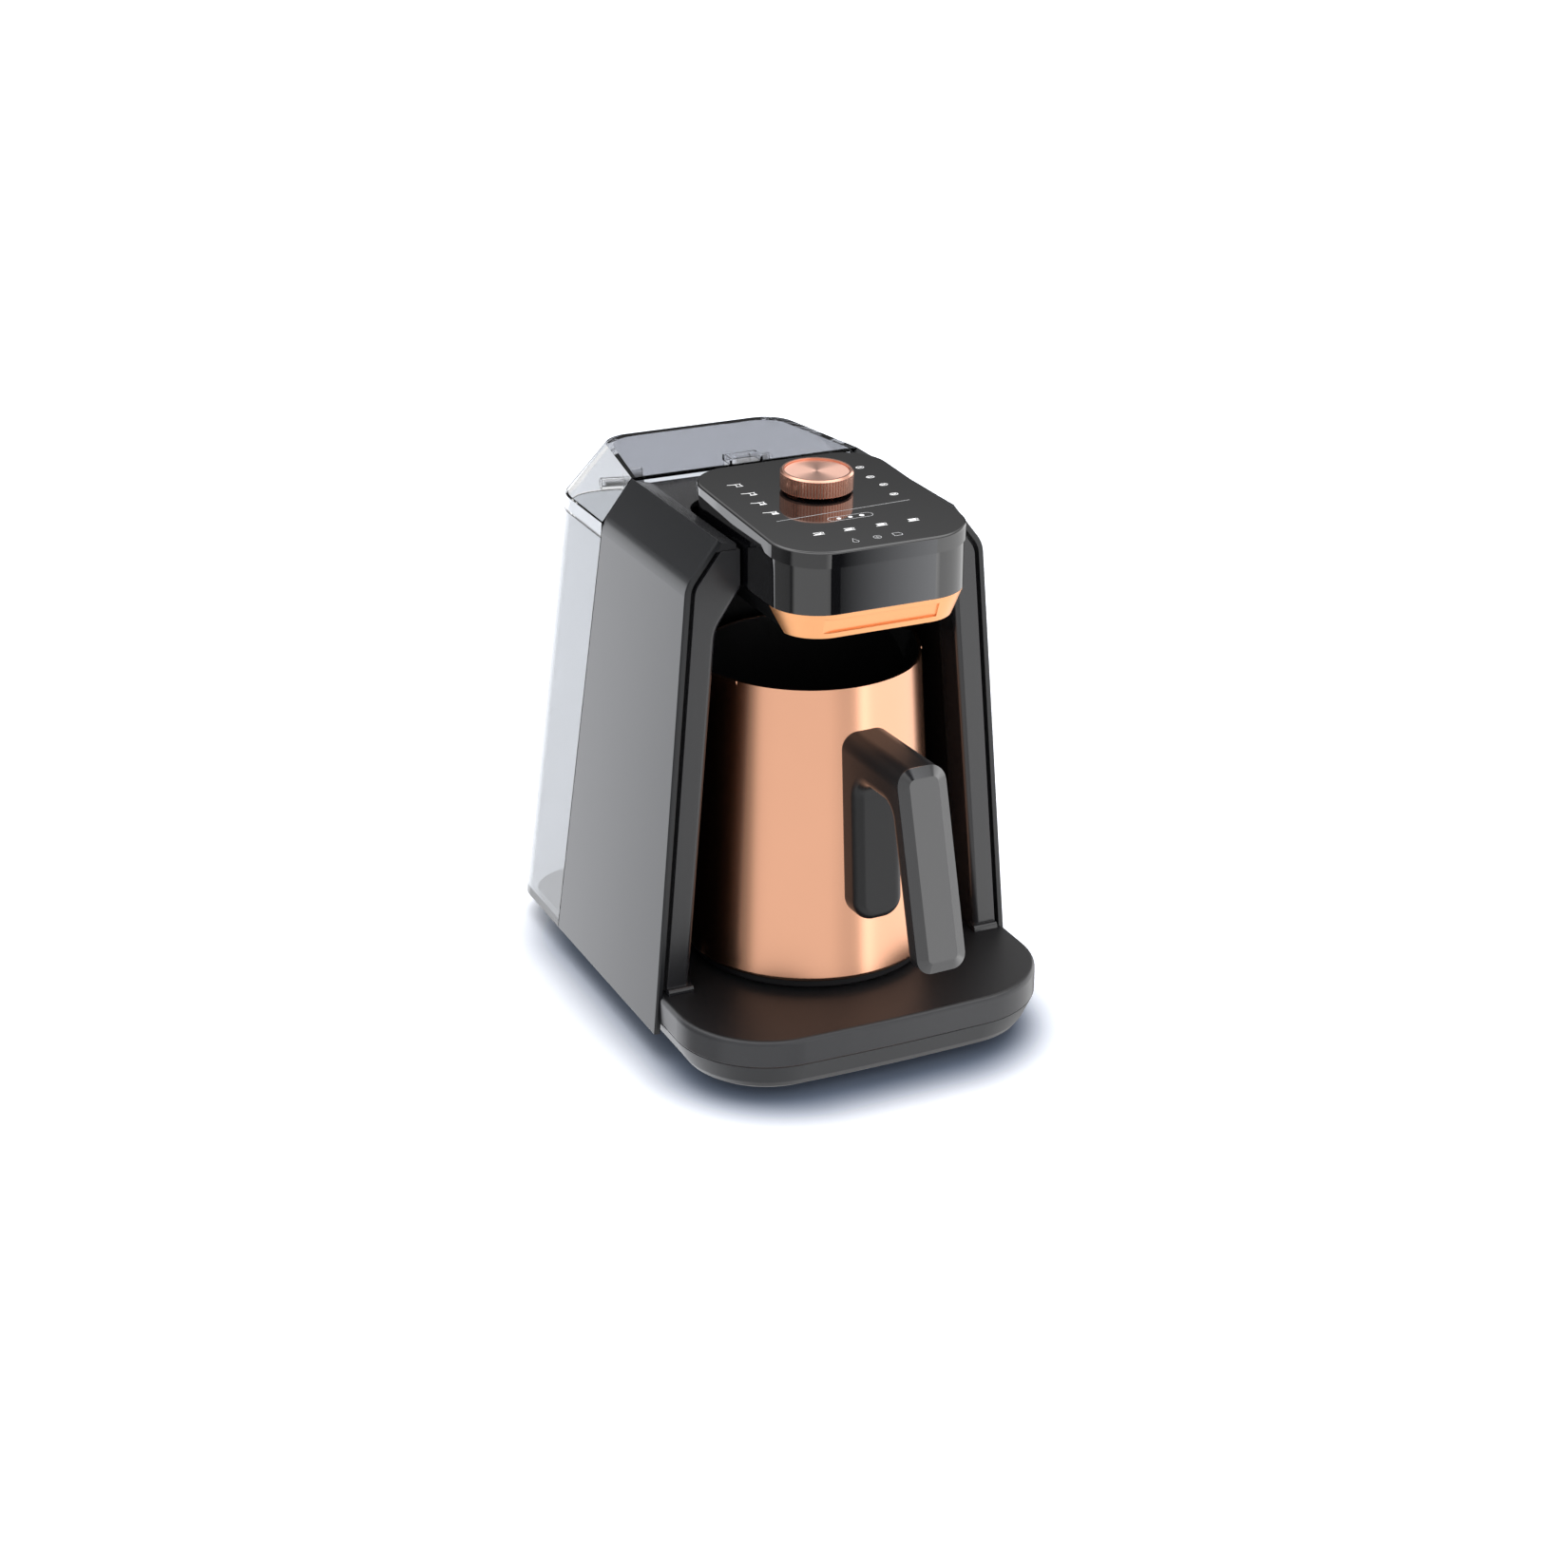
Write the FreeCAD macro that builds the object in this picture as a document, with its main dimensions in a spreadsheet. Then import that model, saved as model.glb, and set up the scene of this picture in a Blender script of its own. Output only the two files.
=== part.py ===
import FreeCAD, Part
import math
import os
import re

import Sketcher
from FreeCAD import Placement, Rotation, Vector

# Countertop coffee maker with a lift-out pot and a lift-off water tank at the back.
# Millimetres. +Z is up, the front faces -Y and the machine is symmetric about X = 0.
# Sizes along Y are counted from the front face of the two columns; the finished pieces
# are then moved back by origin_shift, which puts the origin under the middle of the whole.

SIZES = {
    # side skin, as seen from the front
    "foot_half_width": 86.6,
    "panel_foot_z": 12.0,
    "shoulder_half_width": 69.0,
    "shoulder_z": 214.3,
    "ridge_half_width": 54.6,
    "ridge_z": 232.9,
    "panel_wall": 2.5,
    "panel_bend_radius": 14.0,
    "panel_edge_radius": 0.8,
    # leaning joint between the side skin and the tank, as seen from the side
    "seam_foot_y": 117.1,
    "seam_top_y": 92.4,
    "seam_gap": 0.5,
    # columns and the cavity between them
    "column_foot_x": 70.0,
    "arch_x": 55.25,
    "arch_z": 193.3,
    "arch_radius": 15.0,
    "neck_x": 44.6,
    "neck_z": 209.1,
    "column_depth": 16.0,
    "column_edge_radius": 2.5,
    "groove_width": 2.0,
    "groove_depth": 4.0,
    "toe_height": 2.7,
    "toe_reach": 2.4,
    "liner_wall": 2.0,
    "cavity_rear_y": 86.0,
    # base
    "deck_half_width": 84.2,
    "deck_reach": 60.2,
    "deck_bow": 2.2,
    "deck_bow_radius": 900.0,
    "deck_corner_radius": 42.0,
    "deck_top_z": 30.3,
    "deck_wall": 2.5,
    "deck_edge_radius": 2.2,
    "deck_shoulder_y": 1.6,
    "deck_rear_y": 112.0,
    "parting_z": 18.0,
    "parting_gap": 0.35,
    "shell_floor_z": 3.5,
    "shell_wall": 2.8,
    "shell_floor_wall": 2.5,
    "shell_taper": 6.5,
    "shell_edge_radius": 9.0,
    "shell_inner_taper": 7.2,
    "tank_seat_half_width": 80.0,
    "tank_seat_rear_y": 176.0,
    "tank_seat_radius": 26.0,
    "foot_pad_x": 52.0,
    "foot_pad_front_y": 30.0,
    "foot_pad_rear_y": 148.0,
    "foot_pad_radius": 8.5,
    "screw_x": 66.0,
    "screw_front_y": 12.0,
    "screw_rear_y": 104.0,
    "screw_radius": 1.6,
    "screw_head_radius": 3.2,
    "screw_head_height": 1.5,
    "screw_grip": 12.0,
    "screw_boss_radius": 4.2,
    # heating
    "pot_y": 27.2,
    "plate_radius": 46.0,
    "plate_flange": 3.0,
    "plate_depth": 5.3,
    "plate_gap": 0.3,
    "element_ring_radius": 35.0,
    "element_tube_radius": 3.2,
    "element_turn": 320.0,
    "element_lead": 9.0,
    "thermostat_radius": 8.0,
    "thermostat_height": 9.0,
    # top cover
    "cover_edge_half_width": 46.0,
    "cover_top_z": 229.9,
    "cover_wall": 2.5,
    "cover_front_y": 0.6,
    "cover_trough": 2.6,
    "cover_slot_radius": 20.0,
    # head that hangs over the pot
    "head_half_width": 43.6,
    "head_front_y": 47.4,
    "head_rear_y": 62.0,
    "head_front_radius": 22.0,
    "head_rear_radius": 19.0,
    "head_inset": 0.7,
    "head_wall": 2.2,
    "head_floor_z": 211.0,
    "head_floor_wall": 2.2,
    "panel_front_z": 237.8,
    "panel_slope": 0.045,
    "band_height": 7.0,
    "band_taper": 0.030,
    "band_edge_radius": 1.0,
    "skirt_z": 199.5,
    "skirt_taper": 4.6,
    "trim_wall": 2.0,
    "trim_end_y": 24.0,
    "trim_end_rake": 5.0,
    "trim_band_left": 28.0,
    "trim_band_right": 24.0,
    "trim_band_low_z": 202.0,
    "trim_band_high_z": 208.6,
    "trim_band_depth": 0.9,
    "hood_depth": 5.5,
    "hood_inset": 7.0,
    # selector knob and its encoder, along the knob's own axis
    "knob_y": 21.0,
    "knob_radius": 15.5,
    "knob_gap": 1.0,
    "knob_height": 8.3,
    "knob_rim": 1.7,
    "knob_face_drop": 0.7,
    "knob_face_wall": 1.1,
    "knob_face_gap": 0.05,
    "knob_hollow_depth": 5.0,
    "knob_hub_radius": 5.5,
    "knob_wall": 2.2,
    "knurl_count": 72,
    "knurl_depth": 0.35,
    "shaft_radius": 2.9,
    "shaft_gap": 0.1,
    "bush_radius": 3.9,
    "encoder_half_width": 6.5,
    "encoder_top_depth": 8.6,
    "encoder_height": 8.4,
    "plunger_radius": 2.6,
    "plunger_height": 1.0,
    "plunger_top_depth": 13.9,
    "plunger_travel": 0.8,
    "board_half_width": 31.0,
    "board_front_y": 50.0,
    "board_rear_y": 26.0,
    "board_wall": 1.6,
    # water path
    "nozzle_x": 14.0,
    "nozzle_y": 17.0,
    "nozzle_radius": 3.6,
    "nozzle_bore": 1.6,
    "nozzle_tip_z": 196.6,
    "nozzle_top_z": 220.0,
    "sensor_x": 14.0,
    "sensor_y": 17.0,
    "sensor_radius": 5.0,
    "sensor_proud": 0.6,
    "sensor_height": 8.0,
    "hose_radius": 2.5,
    "hose_bend_radius": 8.0,
    "hose_gap": 0.1,
    "hose_y": 46.0,
    "hose_head_z": 216.6,
    "pump_x": 55.0,
    "pump_z": 13.0,
    "pump_radius": 7.0,
    "pump_front_y": 62.0,
    "pump_rear_y": 100.0,
    "socket_y": 134.0,
    "socket_z": 8.6,
    "socket_radius": 10.6,
    "socket_wall": 1.5,
    "seal_gap": 0.3,
    "seal_height": 2.0,
    "seal_drop": 1.6,
    "socket_floor_z": 4.6,
    "pin_radius": 1.2,
    "pin_gap": 0.4,
    # electrical parts between the cavity and the rear wall
    "power_half_width": 44.0,
    "power_low_z": 36.0,
    "power_high_z": 92.0,
    "power_standoff": 5.0,
    "power_standoff_radius": 2.5,
    "gland_x": 36.0,
    "gland_z": 7.9,
    "gland_radius": 2.8,
    "gland_bore": 1.8,
    "gland_length": 9.5,
    "gland_seat": 10.0,
    # water tank
    "rest_gap": 0.3,
    "tank_rear_foot_y": 182.4,
    "tank_rear_top_y": 158.9,
    "tank_corner_radius": 27.0,
    "tank_wall": 2.4,
    "tank_floor_wall": 3.0,
    "tank_joint_z": 207.5,
    "spigot_radius": 7.5,
    "spigot_drop": 4.6,
    "spigot_flange_radius": 10.5,
    "spigot_flange_wall": 2.0,
    "valve_bore": 4.6,
    "valve_seat_bore": 2.8,
    "valve_seat_z": 10.2,
    "valve_seat_wall": 1.0,
    "poppet_radius": 4.0,
    "poppet_wall": 1.6,
    "poppet_stem": 1.2,
    "strainer_height": 9.0,
    "strainer_wall": 1.2,
    "strainer_slots": 8,
    "spring_radius": 2.6,
    "spring_wire": 0.45,
    "spring_turns": 6,
    "grip_half_width": 20.0,
    "grip_bar": 5.0,
    "grip_reach": 20.5,
    "grip_top_drop": 1.5,
    "grip_height": 6.0,
    "grip_rise": 6.5,
    "grip_radius": 11.0,
    # tank lid
    "lid_gap": 0.3,
    "lid_wall": 2.2,
    "lid_rear_half_width": 44.0,
    "lid_rear_y": 156.6,
    "lid_top_radius": 15.0,
    "tab_half_width": 8.0,
    "tab_length": 8.0,
    "tab_height": 2.6,
    "tab_wall": 1.2,
    "hinge_radius": 2.7,
    "hinge_pin_radius": 1.2,
    "hinge_gap": 0.05,
    "hinge_rise": 3.1,
    "hinge_inset": 0.9,
    "lug_inner_x": 24.0,
    "lug_width": 6.0,
    "barrel_width": 11.0,
    "barrel_gap": 0.4,
    # pot
    "pot_foot_radius": 55.4,
    "pot_rim_radius": 48.3,
    "pot_skirt_z": 34.3,
    "pot_rim_z": 167.1,
    "pot_wall": 1.3,
    "pot_base_wall": 5.0,
    "pot_heel_radius": 2.0,
    "pot_floor_radius": 6.0,
    "pot_base_radius": 43.7,
    "pot_ring_inset": 0.9,
    "lip_reach": 4.7,
    "lip_half_width": 18.9,
    "lip_depth": 8.0,
    "lip_nose_radius": 6.0,
    "lip_drop": 20.0,
    # how far the pot stands turned on its plate, in degrees
    "pot_turn": 2.5,
    # pot handle, counted from the pot's own axis
    "arm_top_z": 148.6,
    "arm_under_z": 131.4,
    "arm_half_width": 11.4,
    "arm_edge_radius": 7.5,
    "arm_inner_radius": 8.0,
    "boss_foot_z": 66.0,
    "boss_reach": 12.5,
    "boss_corner_radius": 9.0,
    "grip_head_reach": 96.0,
    "grip_lean": 0.262,
    "grip_foot_z": 65.2,
    "grip_thickness": 9.0,
    "grip_corner_radius": 6.5,
    "handle_edge_radius": 4.4,
    "seat_edge_radius": 2.4,
    "insert_wall": 2.2,
    "insert_bevel": 4.6,
    "insert_bevel_depth": 1.8,
    "stud_low_z": 82.0,
    "stud_high_z": 130.0,
    "stud_radius": 2.0,
    "stud_length": 6.0,
}

# Sizes that follow from the ones above
DERIVED = {
    "lean": "(foot_half_width - shoulder_half_width) / (shoulder_z - panel_foot_z)",
    "lean_slant": "sqrt(1 + lean ^ 2)",
    "bevel_run": "shoulder_half_width - ridge_half_width",
    "bevel_rise": "ridge_z - shoulder_z",
    "bevel_length": "sqrt(bevel_run ^ 2 + bevel_rise ^ 2)",
    "bend_cosine": "(bevel_rise + lean * bevel_run) / (lean_slant * bevel_length)",
    "bend_in": "(1 / lean_slant + bevel_rise / bevel_length) / (1 + bend_cosine)",
    "bend_down": "(lean / lean_slant + bevel_run / bevel_length) / (1 + bend_cosine)",
    "ridge_in": "bevel_rise / bevel_length",
    "ridge_down": "bevel_run / bevel_length",
    "seam_lean": "(seam_foot_y - seam_top_y) / (tank_joint_z - panel_foot_z)",
    "tank_rear_lean": "(tank_rear_foot_y - tank_rear_top_y) / (tank_joint_z - panel_foot_z)",
    "cover_under_z": "cover_top_z - cover_wall",
    "deck_under_z": "deck_top_z - deck_wall",
    "shell_inside_z": "shell_floor_z + shell_floor_wall",
    "shell_lean": "atan(shell_taper / (parting_z - shell_floor_z)) / 1 deg",
    "shell_round_inset": "shell_taper + shell_edge_radius * tan((90 - shell_lean) / 2 * 1 deg)",
    "tank_seat_z": "panel_foot_z - rest_gap",
    "column_lean": "(column_foot_x - arch_x) / (arch_z - deck_top_z)",
    "plate_under_z": "deck_top_z - plate_depth",
    "joint_slope": "panel_slope + band_taper",
    "band_under_z": "panel_front_z - band_height",
    "knob_z": "panel_front_z + panel_slope * (knob_y + head_front_y)",
    "panel_tilt": "atan(panel_slope) / 1 deg",
    "knob_top": "knob_gap + knob_height",
    "board_top_depth": "encoder_top_depth + encoder_height",
    "pot_base_z": "deck_top_z + rest_gap",
    "pot_taper": "(pot_foot_radius - pot_rim_radius) / (pot_rim_z - pot_skirt_z)",
    "grip_tilt": "atan(grip_lean) / 1 deg",
    "grip_slant": "sqrt(1 + grip_lean ^ 2)",
    "hinge_y": "tank_rear_top_y - hinge_inset",
    "hinge_z": "tank_joint_z + hinge_rise",
    "lid_foot_z": "tank_joint_z + lid_gap",
    "tank_floor_z": "panel_foot_z",
    "tank_inside_z": "panel_foot_z + tank_floor_wall",
    "poppet_foot_z": "valve_seat_z + valve_seat_wall",
    "strainer_foot_z": "tank_inside_z + spigot_flange_wall",
    "power_board_y": "cavity_rear_y + liner_wall + power_standoff",
}

os.makedirs("parts", exist_ok=True)
doc = FreeCAD.newDocument("CoffeeMaker")
sheet = doc.addObject("Spreadsheet::Sheet", "Sizes")


def fill_sheet():
    row = 1
    for name, number in SIZES.items():
        sheet.set(f"A{row}", name)
        sheet.set(f"B{row}", str(number))
        sheet.setAlias(f"B{row}", name)
        row += 1
    for name, formula in DERIVED.items():
        sheet.set(f"A{row}", name)
        sheet.set(f"B{row}", "=" + formula)
        sheet.setAlias(f"B{row}", name)
        row += 1
    sheet.set(f"A{row}", "origin_shift")
    sheet.set(f"B{row}", "0")
    sheet.setAlias(f"B{row}", "origin_shift")
    doc.recompute()
    return f"B{row}"


shift_cell = fill_sheet()
NAMES = set(SIZES) | set(DERIVED) | {"origin_shift"}
nodes = []


def bound(text):
    """The same expression with every size read from the sheet."""
    def qualify(word):
        return "Sizes." + word.group() if word.group() in NAMES else word.group()
    return re.sub(r"[A-Za-z_][A-Za-z_0-9]*", qualify, str(text))


def size(text):
    """The number that an expression gives now."""
    result = sheet.evalExpression(bound(text))
    return float(getattr(result, "Value", result))


# Expressions for the main surfaces

def skin_x(z, inset="0"):
    """Half width of the leaning side skin at height z, inset from its outer face."""
    return f"(foot_half_width - lean * (({z}) - panel_foot_z) - ({inset}) * lean_slant)"


def bevel_x(z, inset="0"):
    """Half width of the upper bevel at height z, inset from its outer face."""
    ridge_x = f"(ridge_half_width - ({inset}) * ridge_in)"
    return f"({ridge_x} + (ridge_z - ({inset}) * ridge_down - ({z})) * bevel_run / bevel_rise)"


def bend(inset="0"):
    """Corner of the side skin where the bevel starts, with its radius."""
    return (f"shoulder_half_width - ({inset}) * bend_in",
            f"shoulder_z - ({inset}) * bend_down",
            f"panel_bend_radius - ({inset})")


def ridge(inset="0"):
    return (f"ridge_half_width - ({inset}) * ridge_in", f"ridge_z - ({inset}) * ridge_down")


def seam_y(z):
    return f"(seam_foot_y - seam_lean * (({z}) - panel_foot_z))"


def column_x(z):
    return f"(column_foot_x - column_lean * (({z}) - deck_top_z))"


def pot_radius(z):
    return f"(pot_foot_radius - pot_taper * (({z}) - pot_skirt_z))"


def grip_y(z):
    """Face of the handle's grip, where its insert starts, at height z."""
    return f"(0 - grip_head_reach - grip_lean * (arm_top_z - ({z})))"


def flip(corners):
    """The same outline on the other side of the first axis."""
    return [(f"-({c[0]})",) + tuple(c[1:]) for c in corners]


def both_sides(corners):
    """A closed outline from its right half, listed from the bottom up."""
    return corners + flip(corners)[::-1]


def round_loop(x, y, radius):
    return ("round", x, y, radius)


# Sketches and features

def new_body(label, y="0", x="0", z="0", tilt=None, turn=None):
    body = doc.addObject("PartDesign::Body", label)
    body.Label = label
    body.setExpression("Placement.Base.x", bound(x))
    body.setExpression("Placement.Base.y", bound(f"({y}) - origin_shift"))
    body.setExpression("Placement.Base.z", bound(z))
    if tilt:
        body.Placement = Placement(Vector(0, 0, 0), Rotation(Vector(1, 0, 0), 1))
        body.setExpression("Placement.Rotation.Angle", bound(tilt))
    if turn:
        body.Placement = Placement(Vector(0, 0, 0), Rotation(Vector(0, 0, 1), 1))
        body.setExpression("Placement.Rotation.Angle", bound(turn))
    nodes.append(body)
    return body


def plane_sketch(body, role, offset):
    sketch = body.newObject("Sketcher::SketchObject", "Outline")
    plane = next(f for f in body.Origin.OriginFeatures if f.Role == role)
    sketch.AttachmentSupport = [(plane, "")]
    sketch.MapMode = "FlatFace"
    sketch.setExpression("AttachmentOffset.Base.z", bound(offset))
    return sketch


def add_constraint(sketch, *terms, expression=None):
    index = sketch.addConstraint(Sketcher.Constraint(*terms))
    if expression is not None:
        sketch.setExpression(f"Constraints[{index}]", bound(expression))


def pin_point(sketch, geometry, place, x, y):
    add_constraint(sketch, "DistanceX", -1, 1, geometry, place, size(x), expression=x)
    add_constraint(sketch, "DistanceY", -1, 1, geometry, place, size(y), expression=y)


def draw_circle(sketch, x, y, radius):
    circle = Part.Circle(Vector(size(x), size(y), 0), Vector(0, 0, 1), size(radius))
    index = sketch.addGeometry(circle, False)
    add_constraint(sketch, "Radius", index, size(radius), expression=radius)
    pin_point(sketch, index, 3, x, y)


def corner_arc(before, corner, after, radius):
    """Tangent points, centre and turning sense of the arc that rounds a corner."""
    back = (before - corner).normalize()
    ahead = (after - corner).normalize()
    half_angle = math.acos(max(-1.0, min(1.0, back.dot(ahead)))) / 2
    reach = radius / math.tan(half_angle)
    centre = corner + (back + ahead).normalize() * (radius / math.sin(half_angle))
    turns_left = back.cross(ahead).z < 0
    return corner + back * reach, corner + ahead * reach, centre, turns_left


def draw_polygon(sketch, corners):
    """Straight sides between the corners, with an arc at each corner that has a radius."""
    points = [Vector(size(c[0]), size(c[1]), 0) for c in corners]
    radii = [size(c[2]) if len(c) > 2 else 0 for c in corners]
    count = len(corners)
    starts, ends, arcs = [], [], []
    for i, point in enumerate(points):
        if radii[i] > 0:
            first, last, centre, left = corner_arc(points[i - 1], point, points[(i + 1) % count], radii[i])
            starts.append(first)
            ends.append(last)
            arcs.append((centre, left))
        else:
            starts.append(point)
            ends.append(point)
            arcs.append(None)
    lines = []
    for i in range(count):
        line = Part.LineSegment(ends[i], starts[(i + 1) % count])
        lines.append(sketch.addGeometry(line, False))
    for i in range(count):
        before, after = lines[i - 1], lines[i]
        if arcs[i] is None:
            add_constraint(sketch, "Coincident", before, 2, after, 1)
            pin_point(sketch, after, 1, corners[i][0], corners[i][1])
            continue
        centre, left = arcs[i]
        low, high = (starts[i], ends[i]) if left else (ends[i], starts[i])
        angles = [math.atan2((p - centre).y, (p - centre).x) for p in (low, high)]
        if angles[1] < angles[0]:
            angles[1] += 2 * math.pi
        circle = Part.Circle(centre, Vector(0, 0, 1), radii[i])
        arc = sketch.addGeometry(Part.ArcOfCircle(circle, angles[0], angles[1]), False)
        add_constraint(sketch, "Tangent", before, 2, arc, 1 if left else 2)
        add_constraint(sketch, "Tangent", after, 1, arc, 2 if left else 1)
        add_constraint(sketch, "Radius", arc, radii[i], expression=corners[i][2])
        mark = sketch.addGeometry(Part.Point(points[i]), True)
        add_constraint(sketch, "PointOnObject", mark, 1, before)
        add_constraint(sketch, "PointOnObject", mark, 1, after)
        pin_point(sketch, mark, 1, corners[i][0], corners[i][1])


def outline(body, role, loops, offset="0"):
    sketch = plane_sketch(body, role, offset)
    if isinstance(loops, tuple) or (isinstance(loops[0], tuple) and loops[0][0] != "round"):
        loops = [loops]
    for loop in loops:
        if loop[0] == "round":
            draw_circle(sketch, *loop[1:])
        else:
            draw_polygon(sketch, loop)
    if sketch.solve() != 0:
        raise RuntimeError(f"{body.Label}: a sketch does not solve")
    return sketch


PLANES = {"x": "YZ_Plane", "y": "XZ_Plane", "z": "XY_Plane"}


def prism(body, axis, loops, low, high):
    """Adds the outline from low to high along an axis of the body."""
    offset = f"-({low})" if axis == "y" else low
    sketch = outline(body, PLANES[axis], loops, offset)
    pad = body.newObject("PartDesign::Pad", "Pad")
    pad.Profile = sketch
    pad.Reversed = axis == "y"
    pad.setExpression("Length", bound(f"({high}) - ({low})"))
    doc.recompute()
    return pad


def carve(body, axis, loops, low, high):
    """Takes the outline away from low to high along an axis of the body."""
    before = body.Shape.Volume
    offset = f"-({low})" if axis == "y" else high
    sketch = outline(body, PLANES[axis], loops, offset)
    pocket = body.newObject("PartDesign::Pocket", "Pocket")
    pocket.Profile = sketch
    pocket.setExpression("Length", bound(f"({high}) - ({low})"))
    doc.recompute()
    must_shrink(body, before)
    return pocket


def must_shrink(body, before):
    if not body.Shape.Volume < before - 1e-3:
        raise RuntimeError(f"{body.Label}: a cut takes nothing away")


def loft(body, sections, cut=False):
    """Straight-sided loft through outlines at stated heights."""
    before = body.Shape.Volume if cut else 0
    sketches = [outline(body, "XY_Plane", loop, z) for loop, z in sections]
    kind = "PartDesign::SubtractiveLoft" if cut else "PartDesign::AdditiveLoft"
    feature = body.newObject(kind, "Loft")
    feature.Profile = sketches[0]
    feature.Sections = sketches[1:]
    feature.Ruled = True
    doc.recompute()
    if cut:
        must_shrink(body, before)
    return feature


def revolve(body, loops, cut=False):
    """Turns an outline in the body's YZ plane about its own Z axis."""
    before = body.Shape.Volume if cut else 0
    sketch = outline(body, "YZ_Plane", loops)
    feature = body.newObject("PartDesign::Groove" if cut else "PartDesign::Revolution", "Turned")
    feature.Profile = sketch
    feature.ReferenceAxis = (sketch, ["V_Axis"])
    feature.Angle = 360
    doc.recompute()
    if cut:
        must_shrink(body, before)
    return feature


def round_edges(body, radius, pick, kind="PartDesign::Fillet"):
    """Rounds or chamfers the edges of the body that pick accepts by their middle point."""
    base = body.Tip
    names = [f"Edge{i + 1}" for i, edge in enumerate(base.Shape.Edges) if pick(edge)]
    if not names:
        raise RuntimeError(f"{body.Label}: no edge to round")
    feature = body.newObject(kind, "Edges")
    feature.Base = (base, names)
    feature.setExpression("Radius" if kind.endswith("Fillet") else "Size", bound(radius))
    doc.recompute()
    return feature


def ring_pattern(body, feature, count):
    """Repeats a cut round the body's Z axis."""
    pattern = body.newObject("PartDesign::PolarPattern", "Pattern")
    pattern.Originals = [feature]
    axis = next(f for f in body.Origin.OriginFeatures if f.Role == "Z_Axis")
    pattern.Axis = (axis, [""])
    pattern.Angle = 360
    pattern.setExpression("Occurrences", bound(count))
    body.Tip = pattern
    doc.recompute()
    return pattern


def middle(edge):
    return edge.valueAt((edge.FirstParameter + edge.LastParameter) / 2)


def near(value, text, slack=0.05):
    return abs(value - size(text)) < slack


def compound(label, pieces):
    group = doc.addObject("Part::Compound", label)
    group.Label = label
    group.Links = pieces
    nodes.append(group)
    return group


def drum(x, y, z, radius, height, top_radius=None):
    """Upright cylinder or cone that belongs to a group of like pieces."""
    if top_radius is None:
        piece = doc.addObject("Part::Cylinder", "Drum")
        piece.setExpression("Radius", bound(radius))
    else:
        piece = doc.addObject("Part::Cone", "Cone")
        piece.setExpression("Radius1", bound(radius))
        piece.setExpression("Radius2", bound(top_radius))
    piece.setExpression("Height", bound(height))
    piece.setExpression("Placement.Base.x", bound(x))
    piece.setExpression("Placement.Base.y", bound(f"({y}) - origin_shift"))
    piece.setExpression("Placement.Base.z", bound(z))
    return piece


def fuse(pieces):
    joined = doc.addObject("Part::MultiFuse", "Joined")
    joined.Shapes = pieces
    return joined


def mirrored_x(corners, side):
    return corners if side > 0 else flip(corners)


# Outer skin

def cut_behind_seam(body, setback):
    """Trims a piece along the leaning joint with the tank."""
    beyond = "seam_foot_y + 60"
    carve(body, "x", [
        (f"{seam_y('panel_foot_z - 5')} - ({setback})", "panel_foot_z - 5"),
        (f"seam_top_y - ({setback})", "tank_joint_z"),
        (f"seam_top_y - ({setback})", "ridge_z + 5"),
        (beyond, "ridge_z + 5"),
        (beyond, "panel_foot_z - 5"),
    ], "-foot_half_width - 5", "foot_half_width + 5")


def side_panel(label, side):
    body = new_body(label)
    corners = [(skin_x("panel_foot_z"), "panel_foot_z"), bend(), ridge(),
               ridge("panel_wall"), bend("panel_wall"),
               (skin_x("panel_foot_z", "panel_wall"), "panel_foot_z")]
    prism(body, "y", mirrored_x(corners, side), "0", "seam_foot_y + 1")
    cut_behind_seam(body, "0")
    limit = "panel_wall / 2"

    def outer_front(edge):
        p = middle(edge)
        on_bevel = p.z > size("shoulder_z")
        outside = size(bevel_x(p.z, limit)) if on_bevel else size(skin_x(p.z, limit))
        return abs(p.y) < 0.01 and abs(p.x) > outside and p.z > size("panel_foot_z") + 1
    round_edges(body, "panel_edge_radius", outer_front)
    return body


def column_outline(outer_inset):
    return [("column_foot_x", "deck_top_z"),
            (skin_x("deck_top_z", outer_inset), "deck_top_z"),
            bend(outer_inset),
            (bevel_x("cover_under_z", outer_inset), "cover_under_z"),
            ("neck_x", "cover_under_z"),
            ("neck_x", "neck_z"),
            ("arch_x", "arch_z", "arch_radius")]


def column(label, side):
    body = new_body(label)
    recessed = mirrored_x(column_outline("panel_wall"), side)
    face = mirrored_x(column_outline("panel_wall + groove_width"), side)
    prism(body, "y", face, "0", "groove_depth")
    prism(body, "y", recessed, "groove_depth", "column_depth")

    def inner_front(edge):
        p = middle(edge)
        inside = abs(p.x) < size(skin_x(p.z, "panel_wall + groove_width + 3"))
        return abs(p.y) < 0.01 and inside and size("deck_top_z") + 1 < p.z < size("neck_z") + 1
    round_edges(body, "column_edge_radius", inner_front)
    toe = [("column_foot_x - toe_reach / 2", "deck_top_z"),
           (skin_x("deck_top_z", "panel_wall + groove_width"), "deck_top_z"),
           (skin_x("deck_top_z + toe_height", "panel_wall + groove_width"), "deck_top_z + toe_height"),
           ("column_foot_x - toe_reach / 2", "deck_top_z + toe_height")]
    prism(body, "y", mirrored_x(toe, side), "-toe_reach", "groove_depth")

    def toe_edge(edge):
        p = middle(edge)
        return near(p.y, "-toe_reach") and near(p.z, "deck_top_z + toe_height")
    round_edges(body, "toe_reach * 0.6", toe_edge)
    return body


def cavity_outline(grow):
    half = [(f"column_foot_x + {grow}", "deck_top_z"),
            (f"arch_x + {grow}", f"arch_z + {grow} * 0.4", f"arch_radius + {grow}"),
            (f"neck_x + {grow} * 0.6", f"neck_z + {grow}")]
    return both_sides(half)


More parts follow.
